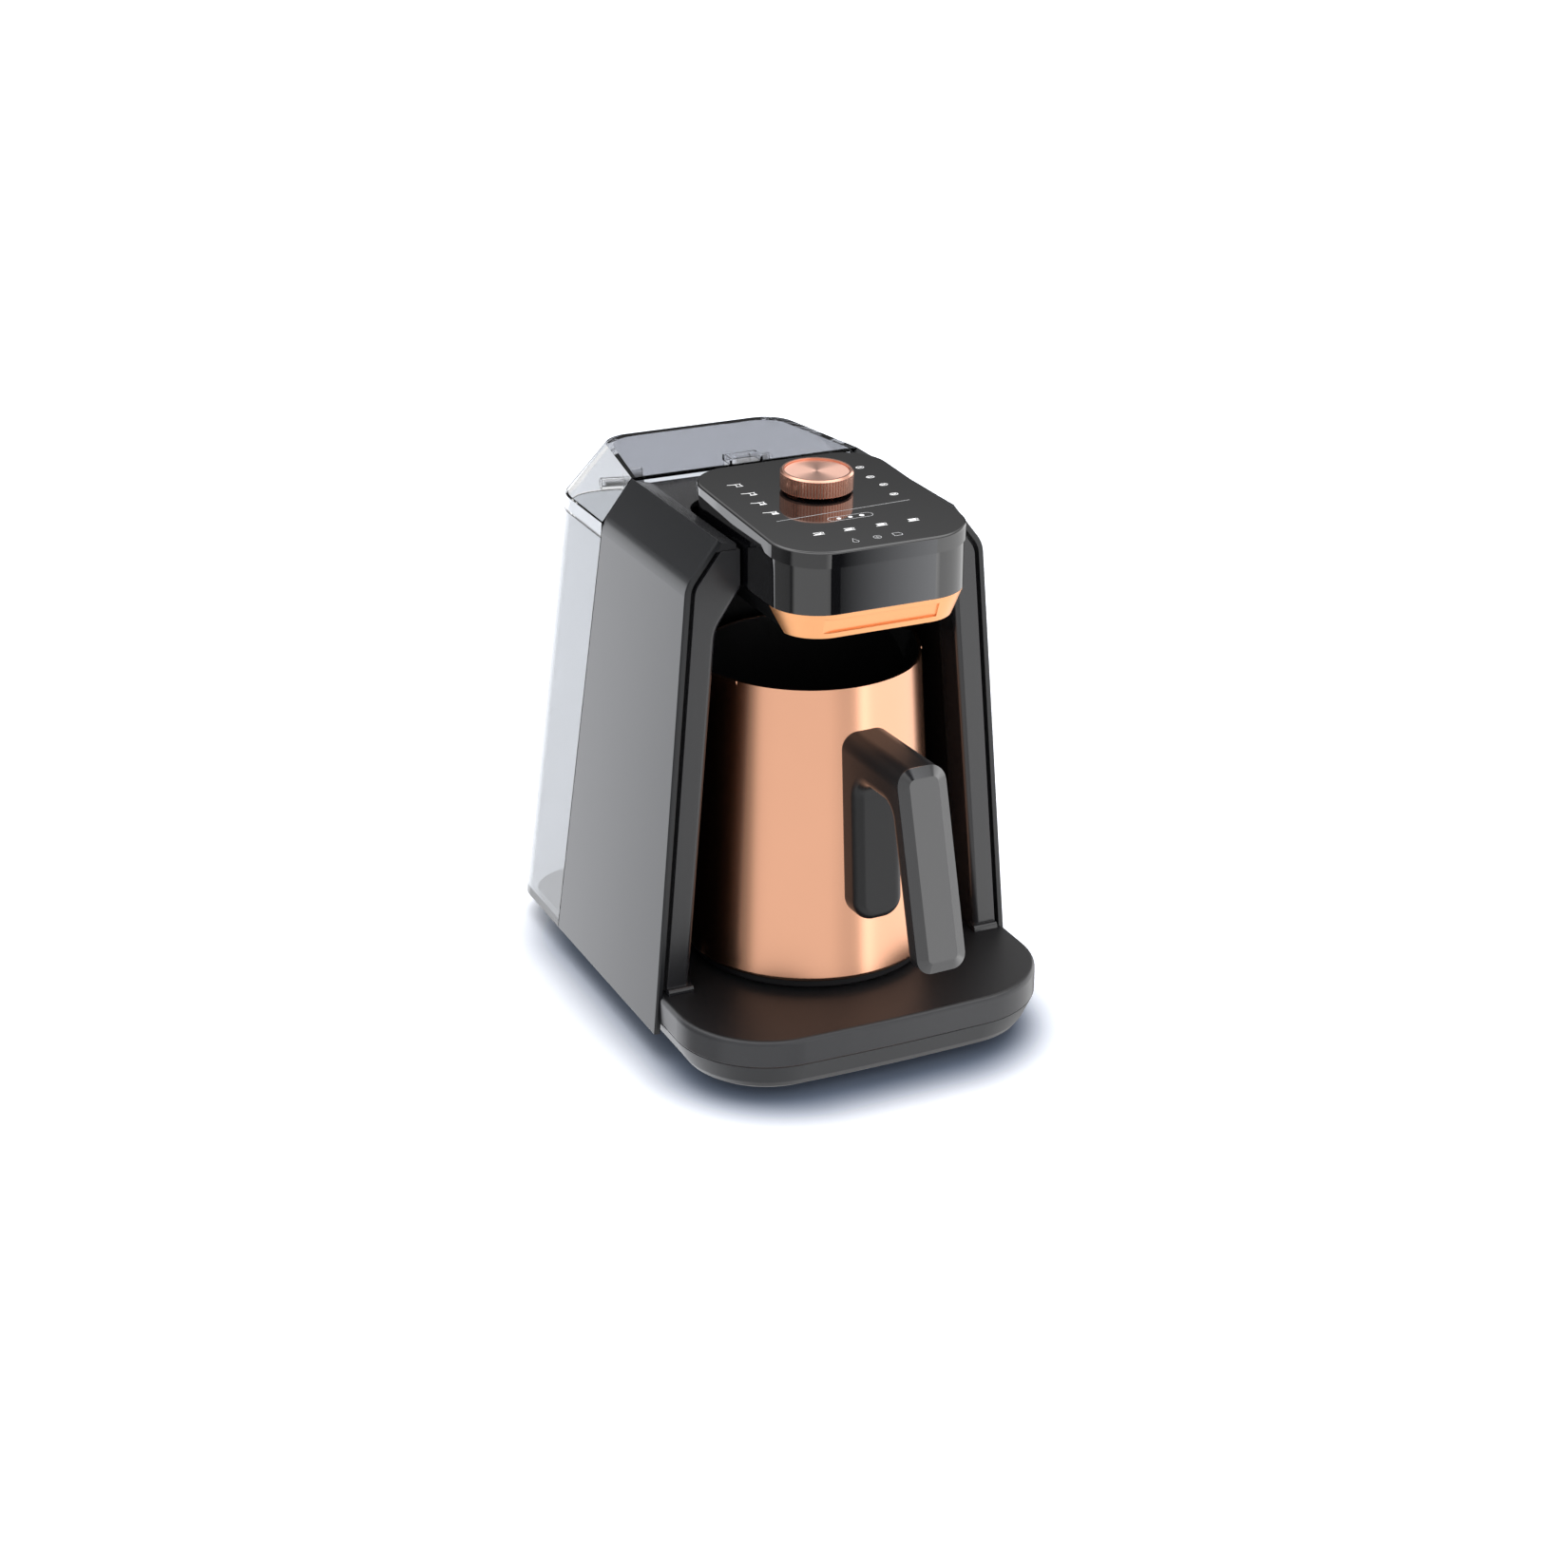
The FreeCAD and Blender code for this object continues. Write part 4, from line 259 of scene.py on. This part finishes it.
def make_cards():
    # Left and behind, for the side panel: bright towards the rear, dimmer towards the front.
    across, up = Vector(SIDE_ACROSS), Vector(SIDE_UP).normalized()
    middle = at(*SIDE_POINT) + Vector(SIDE_OUT) * SIDE_AWAY - up * SIDE_DOWN
    card("side_card", middle + across * 0.10, across, up, 0.20, SIDE_HEIGHT, 2.5)
    card("side_card_dim", middle - across * 0.07, across, up, 0.14, SIDE_HEIGHT, 1.8)
    # In front, dark on its left, for the corner of the head.
    card("front_flag", at(31, -150, 212), (1, 0, 0), (0, 0, 1), 0.098, 0.10, 1.0, (0.026, 0.076, 0.04, 2.2))


# Ground that the base covers, in millimetres: middle, half size and corner radius. Then how far the contact shadow
# painted on the floor starts inside that outline and reaches outside it.
FOOTPRINT_MIDDLE = (-2, 49)
FOOTPRINT_HALF = (76, 110)
FOOTPRINT_CORNER = 46
SHADOW_START = 4
SHADOW_REACH = 33
FLOOR_HALF = 9
FLOOR_COLOUR = (0.88, 0.90, 0.94)
# The two layers that the camera sees added up, each with its painted shadow colour at the base and its plain colour
# farther off.
FLOOR_LAYERS = (((0.30, 0.36, 0.48), FLOOR_COLOUR), ((0, 0, 0), (0.75, 0.75, 0.78)))


def painted_contact_shadow(tree):
    """Painted contact shadow: a falloff of the floor's colour by distance from the base outline, from 0 at the base to
    1.
    """
    where = tree.nodes.new("ShaderNodeNewGeometry")
    off = vector_node(tree, "SUBTRACT", where.outputs["Position"], at(*FOOTPRINT_MIDDLE, 0))
    straight = [(half - FOOTPRINT_CORNER) / 1000 for half in FOOTPRINT_HALF] + [0]
    beyond = vector_node(tree, "SUBTRACT", vector_node(tree, "ABSOLUTE", off), straight)
    length = vector_node(tree, "LENGTH", vector_node(tree, "MAXIMUM", beyond, (0, 0, 0)))
    fall = node_of(tree, "ShaderNodeMapRange", From_Min=(FOOTPRINT_CORNER - SHADOW_START) / 1000,
                   From_Max=(FOOTPRINT_CORNER + SHADOW_REACH) / 1000)
    fall.interpolation_type = "SMOOTHSTEP"
    tree.links.new(length, fall.inputs["Value"])
    return fall.outputs[0]


def make_floor():
    """White ground. The camera sees it brighter than other rays do, except in the contact shadow painted round the
    base.
    """
    mesh = bpy.data.meshes.new("Floor")
    corners = [(x * FLOOR_HALF, y * FLOOR_HALF, 0) for x, y in ((-1, -1), (1, -1), (1, 1), (-1, 1))]
    mesh.from_pydata(corners, [], [(0, 1, 2, 3)])
    floor = bpy.data.objects.new("Floor", mesh)
    bpy.context.scene.collection.objects.link(floor)
    mat = bpy.data.materials.new("Floor")
    mat.use_nodes = True
    tree = mat.node_tree
    tree.nodes.clear()
    out = tree.nodes.new("ShaderNodeOutputMaterial")
    plain = node_of(tree, "ShaderNodeBsdfDiffuse", Color=(*FLOOR_COLOUR, 1))
    both = tree.nodes.new("ShaderNodeAddShader")
    path = tree.nodes.new("ShaderNodeLightPath")
    shade = painted_contact_shadow(tree)
    for socket, (near, far) in zip(both.inputs, FLOOR_LAYERS):
        layer = tree.nodes.new("ShaderNodeBsdfDiffuse")
        tree.links.new(mix_node(tree, "RGBA", shade, (*near, 1), (*far, 1)), layer.inputs["Color"])
        tree.links.new(layer.outputs[0], socket)
    tree.links.new(mix_shader(tree, path.outputs["Is Camera Ray"], plain.outputs[0], both.outputs[0]), out.inputs[0])
    mesh.materials.append(mat)
    floor.visible_glossy = False


# Materials

# Patches of the mottled finish per metre, and the depth of the fine grain in metres.
MOTTLE_SCALE = 38.0
GRAIN_DEPTH = 0.0001
# Pot: the Y of its axis in millimetres, its metal and the near-black colour inside. Below POT_RIM, in metres, whatever
# faces up is inside.
POT_Y = 27.2
POT_RIM = 0.12
COPPER = (0.80, 0.42, 0.27)
POT_INSIDE_TONE = (0.008, 0.008, 0.009)
# Step between the rings on the knob's face, in metres.
RING_STEP = 0.00035


def surface(name, colour, rough=0.4, metal=0.0, spread=0.06, tint=0.06, grain=0.05, grain_size=0.35, edge=0.35,
            level=0.5):
    """Moulded plastic, lacquer or metal: mottled colour and roughness, fine grain and rounded edges. spread and
    tint say how much the roughness and the colour vary. grain_size and edge are in millimetres."""
    mat = bpy.data.materials.new(name)
    mat.use_nodes = True
    tree = mat.node_tree
    bsdf = tree.nodes["Principled BSDF"]
    bsdf.inputs["Metallic"].default_value = metal
    bsdf.inputs["Specular IOR Level"].default_value = level
    where = tree.nodes.new("ShaderNodeTexCoord")
    broad = node_of(tree, "ShaderNodeTexNoise", Scale=MOTTLE_SCALE, Detail=4.0, Roughness=0.55)
    fine = node_of(tree, "ShaderNodeTexNoise", Scale=1000.0 / grain_size, Detail=2.0)
    low = [c * (1 - tint) for c in colour]
    high = [min(1, c * (1 + tint)) for c in colour]
    shade = mix_node(tree, "RGBA", broad.outputs["Fac"], (*low, 1), (*high, 1))
    rough_map = node_of(tree, "ShaderNodeMapRange", To_Min=max(0.02, rough - spread), To_Max=rough + spread)
    bump = node_of(tree, "ShaderNodeBump", Strength=grain, Distance=GRAIN_DEPTH)
    link = tree.links.new
    link(where.outputs["Object"], broad.inputs["Vector"])
    link(where.outputs["Object"], fine.inputs["Vector"])
    link(broad.outputs["Fac"], rough_map.inputs["Value"])
    link(fine.outputs["Fac"], bump.inputs["Height"])
    if edge:
        round_edge = node_of(tree, "ShaderNodeBevel", Radius=edge / 1000)
        round_edge.samples = 4
        link(round_edge.outputs[0], bump.inputs["Normal"])
    link(shade, bsdf.inputs["Base Color"])
    link(rough_map.outputs[0], bsdf.inputs["Roughness"])
    link(bump.outputs[0], bsdf.inputs["Normal"])
    return mat


def clear_plastic(name, colour, ior=1.4):
    """Smoke-tinted see-through plastic with a faint waviness."""
    mat = surface(name, colour, rough=0.03, spread=0.008, tint=0.02, grain=0.015, grain_size=45, edge=0.0)
    bsdf = mat.node_tree.nodes["Principled BSDF"]
    bsdf.inputs["Transmission Weight"].default_value = 1.0
    bsdf.inputs["IOR"].default_value = ior
    return mat


def facing_up(tree, low=0.80, high=0.95):
    """1 on faces that lie level, up or down, and 0 on steep ones."""
    where = tree.nodes.new("ShaderNodeTexCoord")
    level = node_of(tree, "ShaderNodeMapRange", From_Min=low, From_Max=high)
    tree.links.new(math_node(tree, "ABSOLUTE", axes(tree, where.outputs["Normal"])[2]), level.inputs["Value"])
    return level.outputs[0]


def paint_level_shade(mat, colour, rough=None):
    """Paints level faces of mat a colour of their own as painted shade and, if named, gives them a roughness of their
    own.
    """
    tree = mat.node_tree
    bsdf = tree.nodes["Principled BSDF"]
    share = facing_up(tree)
    tone = mix_node(tree, "RGBA", share, source(bsdf, "Base Color"), (*colour, 1))
    tree.links.new(tone, bsdf.inputs["Base Color"])
    if rough:
        blend = mix_node(tree, "FLOAT", share, source(bsdf, "Roughness"), rough)
        tree.links.new(blend, bsdf.inputs["Roughness"])


def bend_normal(mat, stretch, lean):
    """Shades a rounder form than the faces have: stretch scales the normal, and lean tips it up on steep faces."""
    tree = mat.node_tree
    bsdf = tree.nodes["Principled BSDF"]
    where = tree.nodes.new("ShaderNodeNewGeometry")
    steep = math_node(tree, "SUBTRACT", 1.0, facing_up(tree, 0.3, 0.9))
    lift = tree.nodes.new("ShaderNodeCombineXYZ")
    tree.links.new(math_node(tree, "MULTIPLY", steep, lean), lift.inputs["Z"])
    bent = vector_node(tree, "MULTIPLY_ADD", where.outputs["Normal"], stretch, lift.outputs[0])
    tree.links.new(vector_node(tree, "NORMALIZE", bent), bsdf.inputs["Normal"])


def pot_metal(name):
    """Satin copper outside, near black inside, told apart by which way the wall faces."""
    mat = surface(name, COPPER, rough=0.25, metal=1.0, spread=0.004, tint=0.02, grain=0.006, grain_size=0.5)
    tree = mat.node_tree
    bsdf = tree.nodes["Principled BSDF"]
    where = tree.nodes.new("ShaderNodeTexCoord")
    off = vector_node(tree, "SUBTRACT", where.outputs["Object"], (0, at(0, POT_Y, 0).y, 0))
    outward = vector_node(tree, "NORMALIZE", vector_node(tree, "MULTIPLY", off, (1, 1, 0)))
    facing = vector_node(tree, "DOT_PRODUCT", outward, where.outputs["Normal"])
    wall = math_node(tree, "LESS_THAN", facing, -0.15)
    below_rim = math_node(tree, "LESS_THAN", axes(tree, where.outputs["Object"])[2], POT_RIM)
    up = math_node(tree, "GREATER_THAN", axes(tree, where.outputs["Normal"])[2], 0.2)
    inside = math_node(tree, "MAXIMUM", wall, math_node(tree, "MULTIPLY", below_rim, up))
    tone = mix_node(tree, "RGBA", inside, source(bsdf, "Base Color"), (*POT_INSIDE_TONE, 1))
    rough = math_node(tree, "MULTIPLY_ADD", inside, 0.25, source(bsdf, "Roughness"))
    tree.links.new(tone, bsdf.inputs["Base Color"])
    tree.links.new(math_node(tree, "SUBTRACT", 1.0, inside), bsdf.inputs["Metallic"])
    tree.links.new(rough, bsdf.inputs["Roughness"])
    return mat


def turned_metal(name, colour, centre):
    """Copper face turned on a lathe: fine rings round its centre and a fan of light."""
    mat = surface(name, colour, rough=0.33, metal=1.0, spread=0.02, tint=0.03, grain=0.0, edge=0.2)
    tree = mat.node_tree
    bsdf = tree.nodes["Principled BSDF"]
    bsdf.inputs["Anisotropic"].default_value = 0.88
    tangent = tree.nodes.new("ShaderNodeTangent")
    tangent.direction_type = "RADIAL"
    tangent.axis = "Z"
    tree.links.new(tangent.outputs[0], bsdf.inputs["Tangent"])
    where = tree.nodes.new("ShaderNodeTexCoord")
    away = vector_node(tree, "DISTANCE", where.outputs["Object"], centre)
    rings = math_node(tree, "SINE", math_node(tree, "MULTIPLY", away, 2 * math.pi / RING_STEP))
    bump = node_of(tree, "ShaderNodeBump", Strength=0.12, Distance=0.00004)
    tree.links.new(rings, bump.inputs["Height"])
    tree.links.new(source(source(bsdf, "Normal").node, "Normal"), bump.inputs["Normal"])
    tree.links.new(bump.outputs[0], bsdf.inputs["Normal"])
    return mat


def dress(mat, *names):
    for name in names:
        node = nodes[name]
        node.data.materials.clear()
        node.data.materials.append(mat)


# Dressing the CAD nodes

def dress_nodes():
    side = surface("side_lacquer", (0.014, 0.015, 0.017), rough=0.28, spread=0.008, tint=0.04, grain=0.012, edge=0.25,
                   level=0.42)
    grey = surface("body_plastic", (0.020, 0.020, 0.022), rough=0.26, spread=0.012, grain=0.04, level=0.6)
    shell = surface("shell_plastic", (0.024, 0.025, 0.028), rough=0.45, spread=0.02, grain=0.08, level=0.35)
    dark = surface("dark_plastic", (0.005, 0.005, 0.006), rough=0.45, grain=0.12, level=0.3)
    deck = surface("deck_plastic", (0.050, 0.050, 0.053), rough=0.30, spread=0.015, grain=0.05, edge=0.7, level=0.4)
    # Painted light and shade: the deck's front rim is coloured lighter and its level top darker.
    paint_level_shade(deck, (0.008, 0.008, 0.009), 0.42)
    black = surface("piano_black", (0.004, 0.004, 0.005), rough=0.05, spread=0.006, grain=0.0, level=1.0)
    panel = surface("panel_black", (0.004, 0.004, 0.005), rough=0.05, spread=0.006, grain=0.0, level=1.0)
    bend_normal(panel, (1, 1, 1), 0.25)
    trim = surface("trim_copper", (0.96, 0.46, 0.21), rough=0.36, metal=0.85, spread=0.01, grain=0.01)
    knob = surface("knob_copper", (0.80, 0.42, 0.31), rough=0.22, metal=1.0, spread=0.01, grain=0.01, edge=0.12)
    handle = surface("handle_plastic", (0.012, 0.012, 0.013), rough=0.38, spread=0.02, grain=0.06, level=0.35)
    insert = surface("insert_plastic", (0.022, 0.022, 0.024), rough=0.16, spread=0.01, grain=0.0, level=1.0)
    bend_normal(insert, (2.2, 1, 1), 0)
    smoke = clear_plastic("smoke_plastic", (0.62, 0.632, 0.645))
    lid = clear_plastic("lid_plastic", (0.95, 0.955, 0.96))
    # Painted shade: the lid's level top is coloured darker than its sloped sides, for the dark tank seen through it.
    paint_level_shade(lid, (0.52, 0.53, 0.57))
    bar = clear_plastic("bar_plastic", (0.30, 0.31, 0.34), ior=1.45)
    rubber = surface("rubber", (0.02, 0.02, 0.02), rough=0.75, grain=0.3)
    steel = surface("steel", (0.55, 0.55, 0.56), rough=0.3, metal=1.0)
    inner = surface("inner_plastic", (0.30, 0.30, 0.31), rough=0.5)
    hose = surface("hose", (0.7, 0.7, 0.68), rough=0.45)
    board = surface("board", (0.03, 0.16, 0.07), rough=0.5)
    dress(side, "left_side_panel", "right_side_panel")
    dress(grey, "left_column", "right_column", "top_cover", "rear_wall")
    dress(shell, "base_shell")
    dress(deck, "base_deck")
    dress(dark, "cavity_liner", "steam_hood", "cord_gland", "pot_base_ring")
    dress(black, "head_housing")
    dress(panel, "control_panel")
    dress(pot_metal("pot_copper"), "pot_body")
    dress(trim, "spout_trim")
    dress(knob, "knob_sleeve")
    # Painted highlight: the face's copper is paler than the sleeve's, so its top reads brighter.
    dress(turned_metal("turned_copper", (0.90, 0.55, 0.44), at(*KNOB)), "knob_face")
    dress(handle, "pot_handle")
    dress(insert, "grip_insert")
    dress(smoke, "tank_shell")
    dress(bar, "tank_grip")
    dress(lid, "tank_lid")
    dress(rubber, "rubber_feet", "socket_seal", "valve_seal")
    dress(steel, "heating_plate", "heater_element", "base_screws", "handle_studs", "lid_pins", "valve_spring",
          "overflow_sensor")
    dress(inner, "tank_socket", "valve_body", "inlet_strainer", "valve_poppet", "water_nozzle", "encoder_body",
          "switch_plunger", "knob_shaft", "thermostat", "water_pump")
    dress(hose, "delivery_hose", "supply_hose")
    dress(board, "power_board", "control_board")
    # Mirror reflections leave these out, so the pot's polished wall shows the room as in the photo.
    for name in ("pot_handle", "grip_insert", "base_deck"):
        nodes[name].visible_glossy = False


# Printed marks on the control panel

# How far the marks stand up from the panel and reach into it, in millimetres.
MARK_HEIGHT = 0.05
MARK_SUNK = 0.03


def on_panel(x, y, z=0.0):
    """Point on the control panel, in millimetres from the knob's axis."""
    slope = math.atan(PANEL_SLOPE)
    return at(x, KNOB[1] + y * math.cos(slope) - z * math.sin(slope),
              KNOB[2] + y * math.sin(slope) + z * math.cos(slope))


class Marks:
    """Flat raised shapes on the control panel, gathered in one mesh."""

    def __init__(self):
        self.mesh = bmesh.new()

    def plate(self, outline):
        """Thin plate on a closed outline."""
        low = [self.mesh.verts.new(on_panel(x, y, -MARK_SUNK)) for x, y in outline]
        high = [self.mesh.verts.new(on_panel(x, y, MARK_HEIGHT)) for x, y in outline]
        self.mesh.faces.new(high)
        self.mesh.faces.new(list(reversed(low)))
        for i in range(len(outline)):
            j = (i + 1) % len(outline)
            self.mesh.faces.new((low[i], low[j], high[j], high[i]))

    def bar(self, start, end, width):
        along = Vector((end[0] - start[0], end[1] - start[1])).normalized()
        side = Vector((-along.y, along.x)) * width / 2
        a, b = Vector(start), Vector(end)
        self.plate([tuple(a - side), tuple(b - side), tuple(b + side), tuple(a + side)])

    def disc(self, middle, radius, count=20):
        self.plate([(middle[0] + radius * math.cos(t), middle[1] + radius * math.sin(t))
                    for t in (2 * math.pi * i / count for i in range(count))])

    def loop(self, outline, width):
        """Closed line of even width that follows outline on its inner side."""
        count = len(outline)
        inner = []
        for i in range(count):
            before, here, after = (Vector(outline[(i + k) % count]) for k in (-1, 0, 1))
            one, two = (here - before).normalized(), (after - here).normalized()
            left = Vector((-(one + two).y, (one + two).x)).normalized()
            fit = max(0.5, left.dot(Vector((-one.y, one.x))))
            inner.append(tuple(here + left * width / fit))
        rings = []
        for points in (outline, inner):
            for z in (-MARK_SUNK, MARK_HEIGHT):
                rings.append([self.mesh.verts.new(on_panel(x, y, z)) for x, y in points])
        out_low, out_high, in_low, in_high = rings
        for i in range(count):
            j = (i + 1) % count
            self.mesh.faces.new((out_low[i], out_low[j], out_high[j], out_high[i]))
            self.mesh.faces.new((out_high[i], out_high[j], in_high[j], in_high[i]))
            self.mesh.faces.new((in_high[i], in_high[j], in_low[j], in_low[i]))
            self.mesh.faces.new((in_low[i], in_low[j], out_low[j], out_low[i]))

    def finish(self, name, mat):
        mesh = bpy.data.meshes.new(name)
        bmesh.ops.recalc_face_normals(self.mesh, faces=self.mesh.faces)
        self.mesh.to_mesh(mesh)
        self.mesh.free()
        mesh.materials.append(mat)
        obj = bpy.data.objects.new(name, mesh)
        bpy.context.scene.collection.objects.link(obj)
        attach(obj, "housing")


def arc(middle, radius, start, end, count, squash=1.0):
    """Points on an arc, angles in degrees."""
    turns = [math.radians(start + (end - start) * i / (count - 1)) for i in range(count)]
    return [(middle[0] + radius * math.cos(t), middle[1] + radius * squash * math.sin(t)) for t in turns]


def stadium(x, y, half_length, radius):
    """Outline of a bar with round ends. half_length counts to the centres of the ends."""
    return arc((x + half_length, y), radius, -90, 90, 12) + arc((x - half_length, y), radius, 90, 270, 12)


def cup_mark(marks, x, y, fill):
    """Filled cup with a handle, on a saucer. fill is how far up the cup is solid."""
    top, foot, tall = 1.75, 1.15, 2.1
    marks.bar((x - 2.5, y - 1.25), (x + 2.5, y - 1.25), 0.42)
    marks.plate([(x - foot, y - 0.9), (x + foot, y - 0.9), (x + foot + (top - foot) * fill, y - 0.9 + tall * fill),
                 (x - foot - (top - foot) * fill, y - 0.9 + tall * fill)])
    marks.loop([(x - foot, y - 0.9), (x + foot, y - 0.9), (x + top, y - 0.9 + tall), (x - top, y - 0.9 + tall)], 0.28)
    marks.loop(arc((x + top + 0.35, y + 0.35), 0.72, 0, 330, 12), 0.26)


def pot_mark(marks, x, y, fill):
    """Small long-handled pot, drawn in line, with fill strokes in it."""
    marks.loop([(x - 1.5, y - 1.5), (x + 1.7, y - 1.5), (x + 1.1, y + 0.5), (x + 1.7, y + 1.6), (x - 1.5, y + 1.6),
                (x - 0.9, y + 0.5)], 0.3)
    marks.bar((x - 4.4, y + 1.9), (x - 1.3, y + 1.2), 0.4)
    for i in range(fill):
        marks.bar((x - 1.0, y - 1.0 + 0.62 * i), (x + 1.1, y - 1.0 + 0.62 * i), 0.3)


def bean_mark(marks, x, y, fill):
    """Coffee bean with its groove, and fill dots on it."""
    marks.loop(arc((x, y), 1.9, 0, 345, 18, 0.72), 0.32)
    marks.bar((x - 1.2, y - 0.5), (x + 1.2, y + 0.5), 0.3)
    for i in range(fill):
        marks.disc((x - 0.8 + 0.75 * i, y + 0.1 - 0.35 * (i % 2)), 0.34, 8)


# Places of the marks, in millimetres from the knob's axis.
LEFT_MARKS = [(-28.3, 17.1), (-27.1, 5.3), (-28.1, -6.6), (-28.1, -18.8)]
RIGHT_MARKS = [(29.4, 18.5), (28.2, 6.0), (29.2, -4.6), (28.0, -16.7)]
CUP_MARKS = [-21.8, -8.0, 6.6, 21.1]
CUP_ROW = -47.0
DOTS = (-1, -34.4)
DOT_STEP = 5.2
DROP = (-11.2, -60.0)
RING = (-1.1, -59.4)


def make_marks():
    white = surface("mark_white_glow", (0.80, 0.80, 0.80), rough=0.4, edge=0.0, grain=0.02)
    bsdf = white.node_tree.nodes["Principled BSDF"]
    # Painted glow: the white marks give off light of their own, which lifts them above their printed white.
    bsdf.inputs["Emission Color"].default_value = (1, 1, 1, 1)
    bsdf.inputs["Emission Strength"].default_value = 0.6
    line = surface("mark_line", (0.75, 0.75, 0.76), rough=0.4, edge=0.0, grain=0.02)
    marks = Marks()
    for i, (x, y) in enumerate(LEFT_MARKS):
        pot_mark(marks, x, y, i)
    for i, (x, y) in enumerate(RIGHT_MARKS):
        bean_mark(marks, x, y, i)
    for i, x in enumerate(CUP_MARKS):
        cup_mark(marks, x, CUP_ROW, 0.4 + 0.2 * i)
    for i in (-1, 0, 1):
        marks.disc((DOTS[0] + DOT_STEP * i, DOTS[1]), 0.95 if i < 1 else 1.1)
    marks.finish("panel_marks", white)
    lines = Marks()
    lines.bar((-31.5, -28.1), (30.8, -25.3), 0.28)
    lines.loop(stadium(*DOTS, 7.9, 2.3), 0.26)
    lines.loop(arc(DROP, 1.6, 200, 340, 10) + [(DROP[0], DROP[1] + 3)], 0.3)
    lines.loop(arc(RING, 1.75, 0, 345, 20), 0.28)
    lines.bar((-2.0, -59.4), (-0.2, -59.4), 0.3)
    lines.bar((-1.1, -60.3), (-1.1, -58.5), 0.3)
    lines.loop([(6.0, -61.0), (9.6, -61.0), (10.2, -59.6), (9.2, -57.8), (6.0, -57.8)], 0.3)
    lines.finish("panel_lines", line)


make_camera()
make_world()
make_sun()
make_cards()
make_floor()
dress_nodes()
make_marks()

scene = bpy.context.scene
scene.view_settings.view_transform = "Standard"
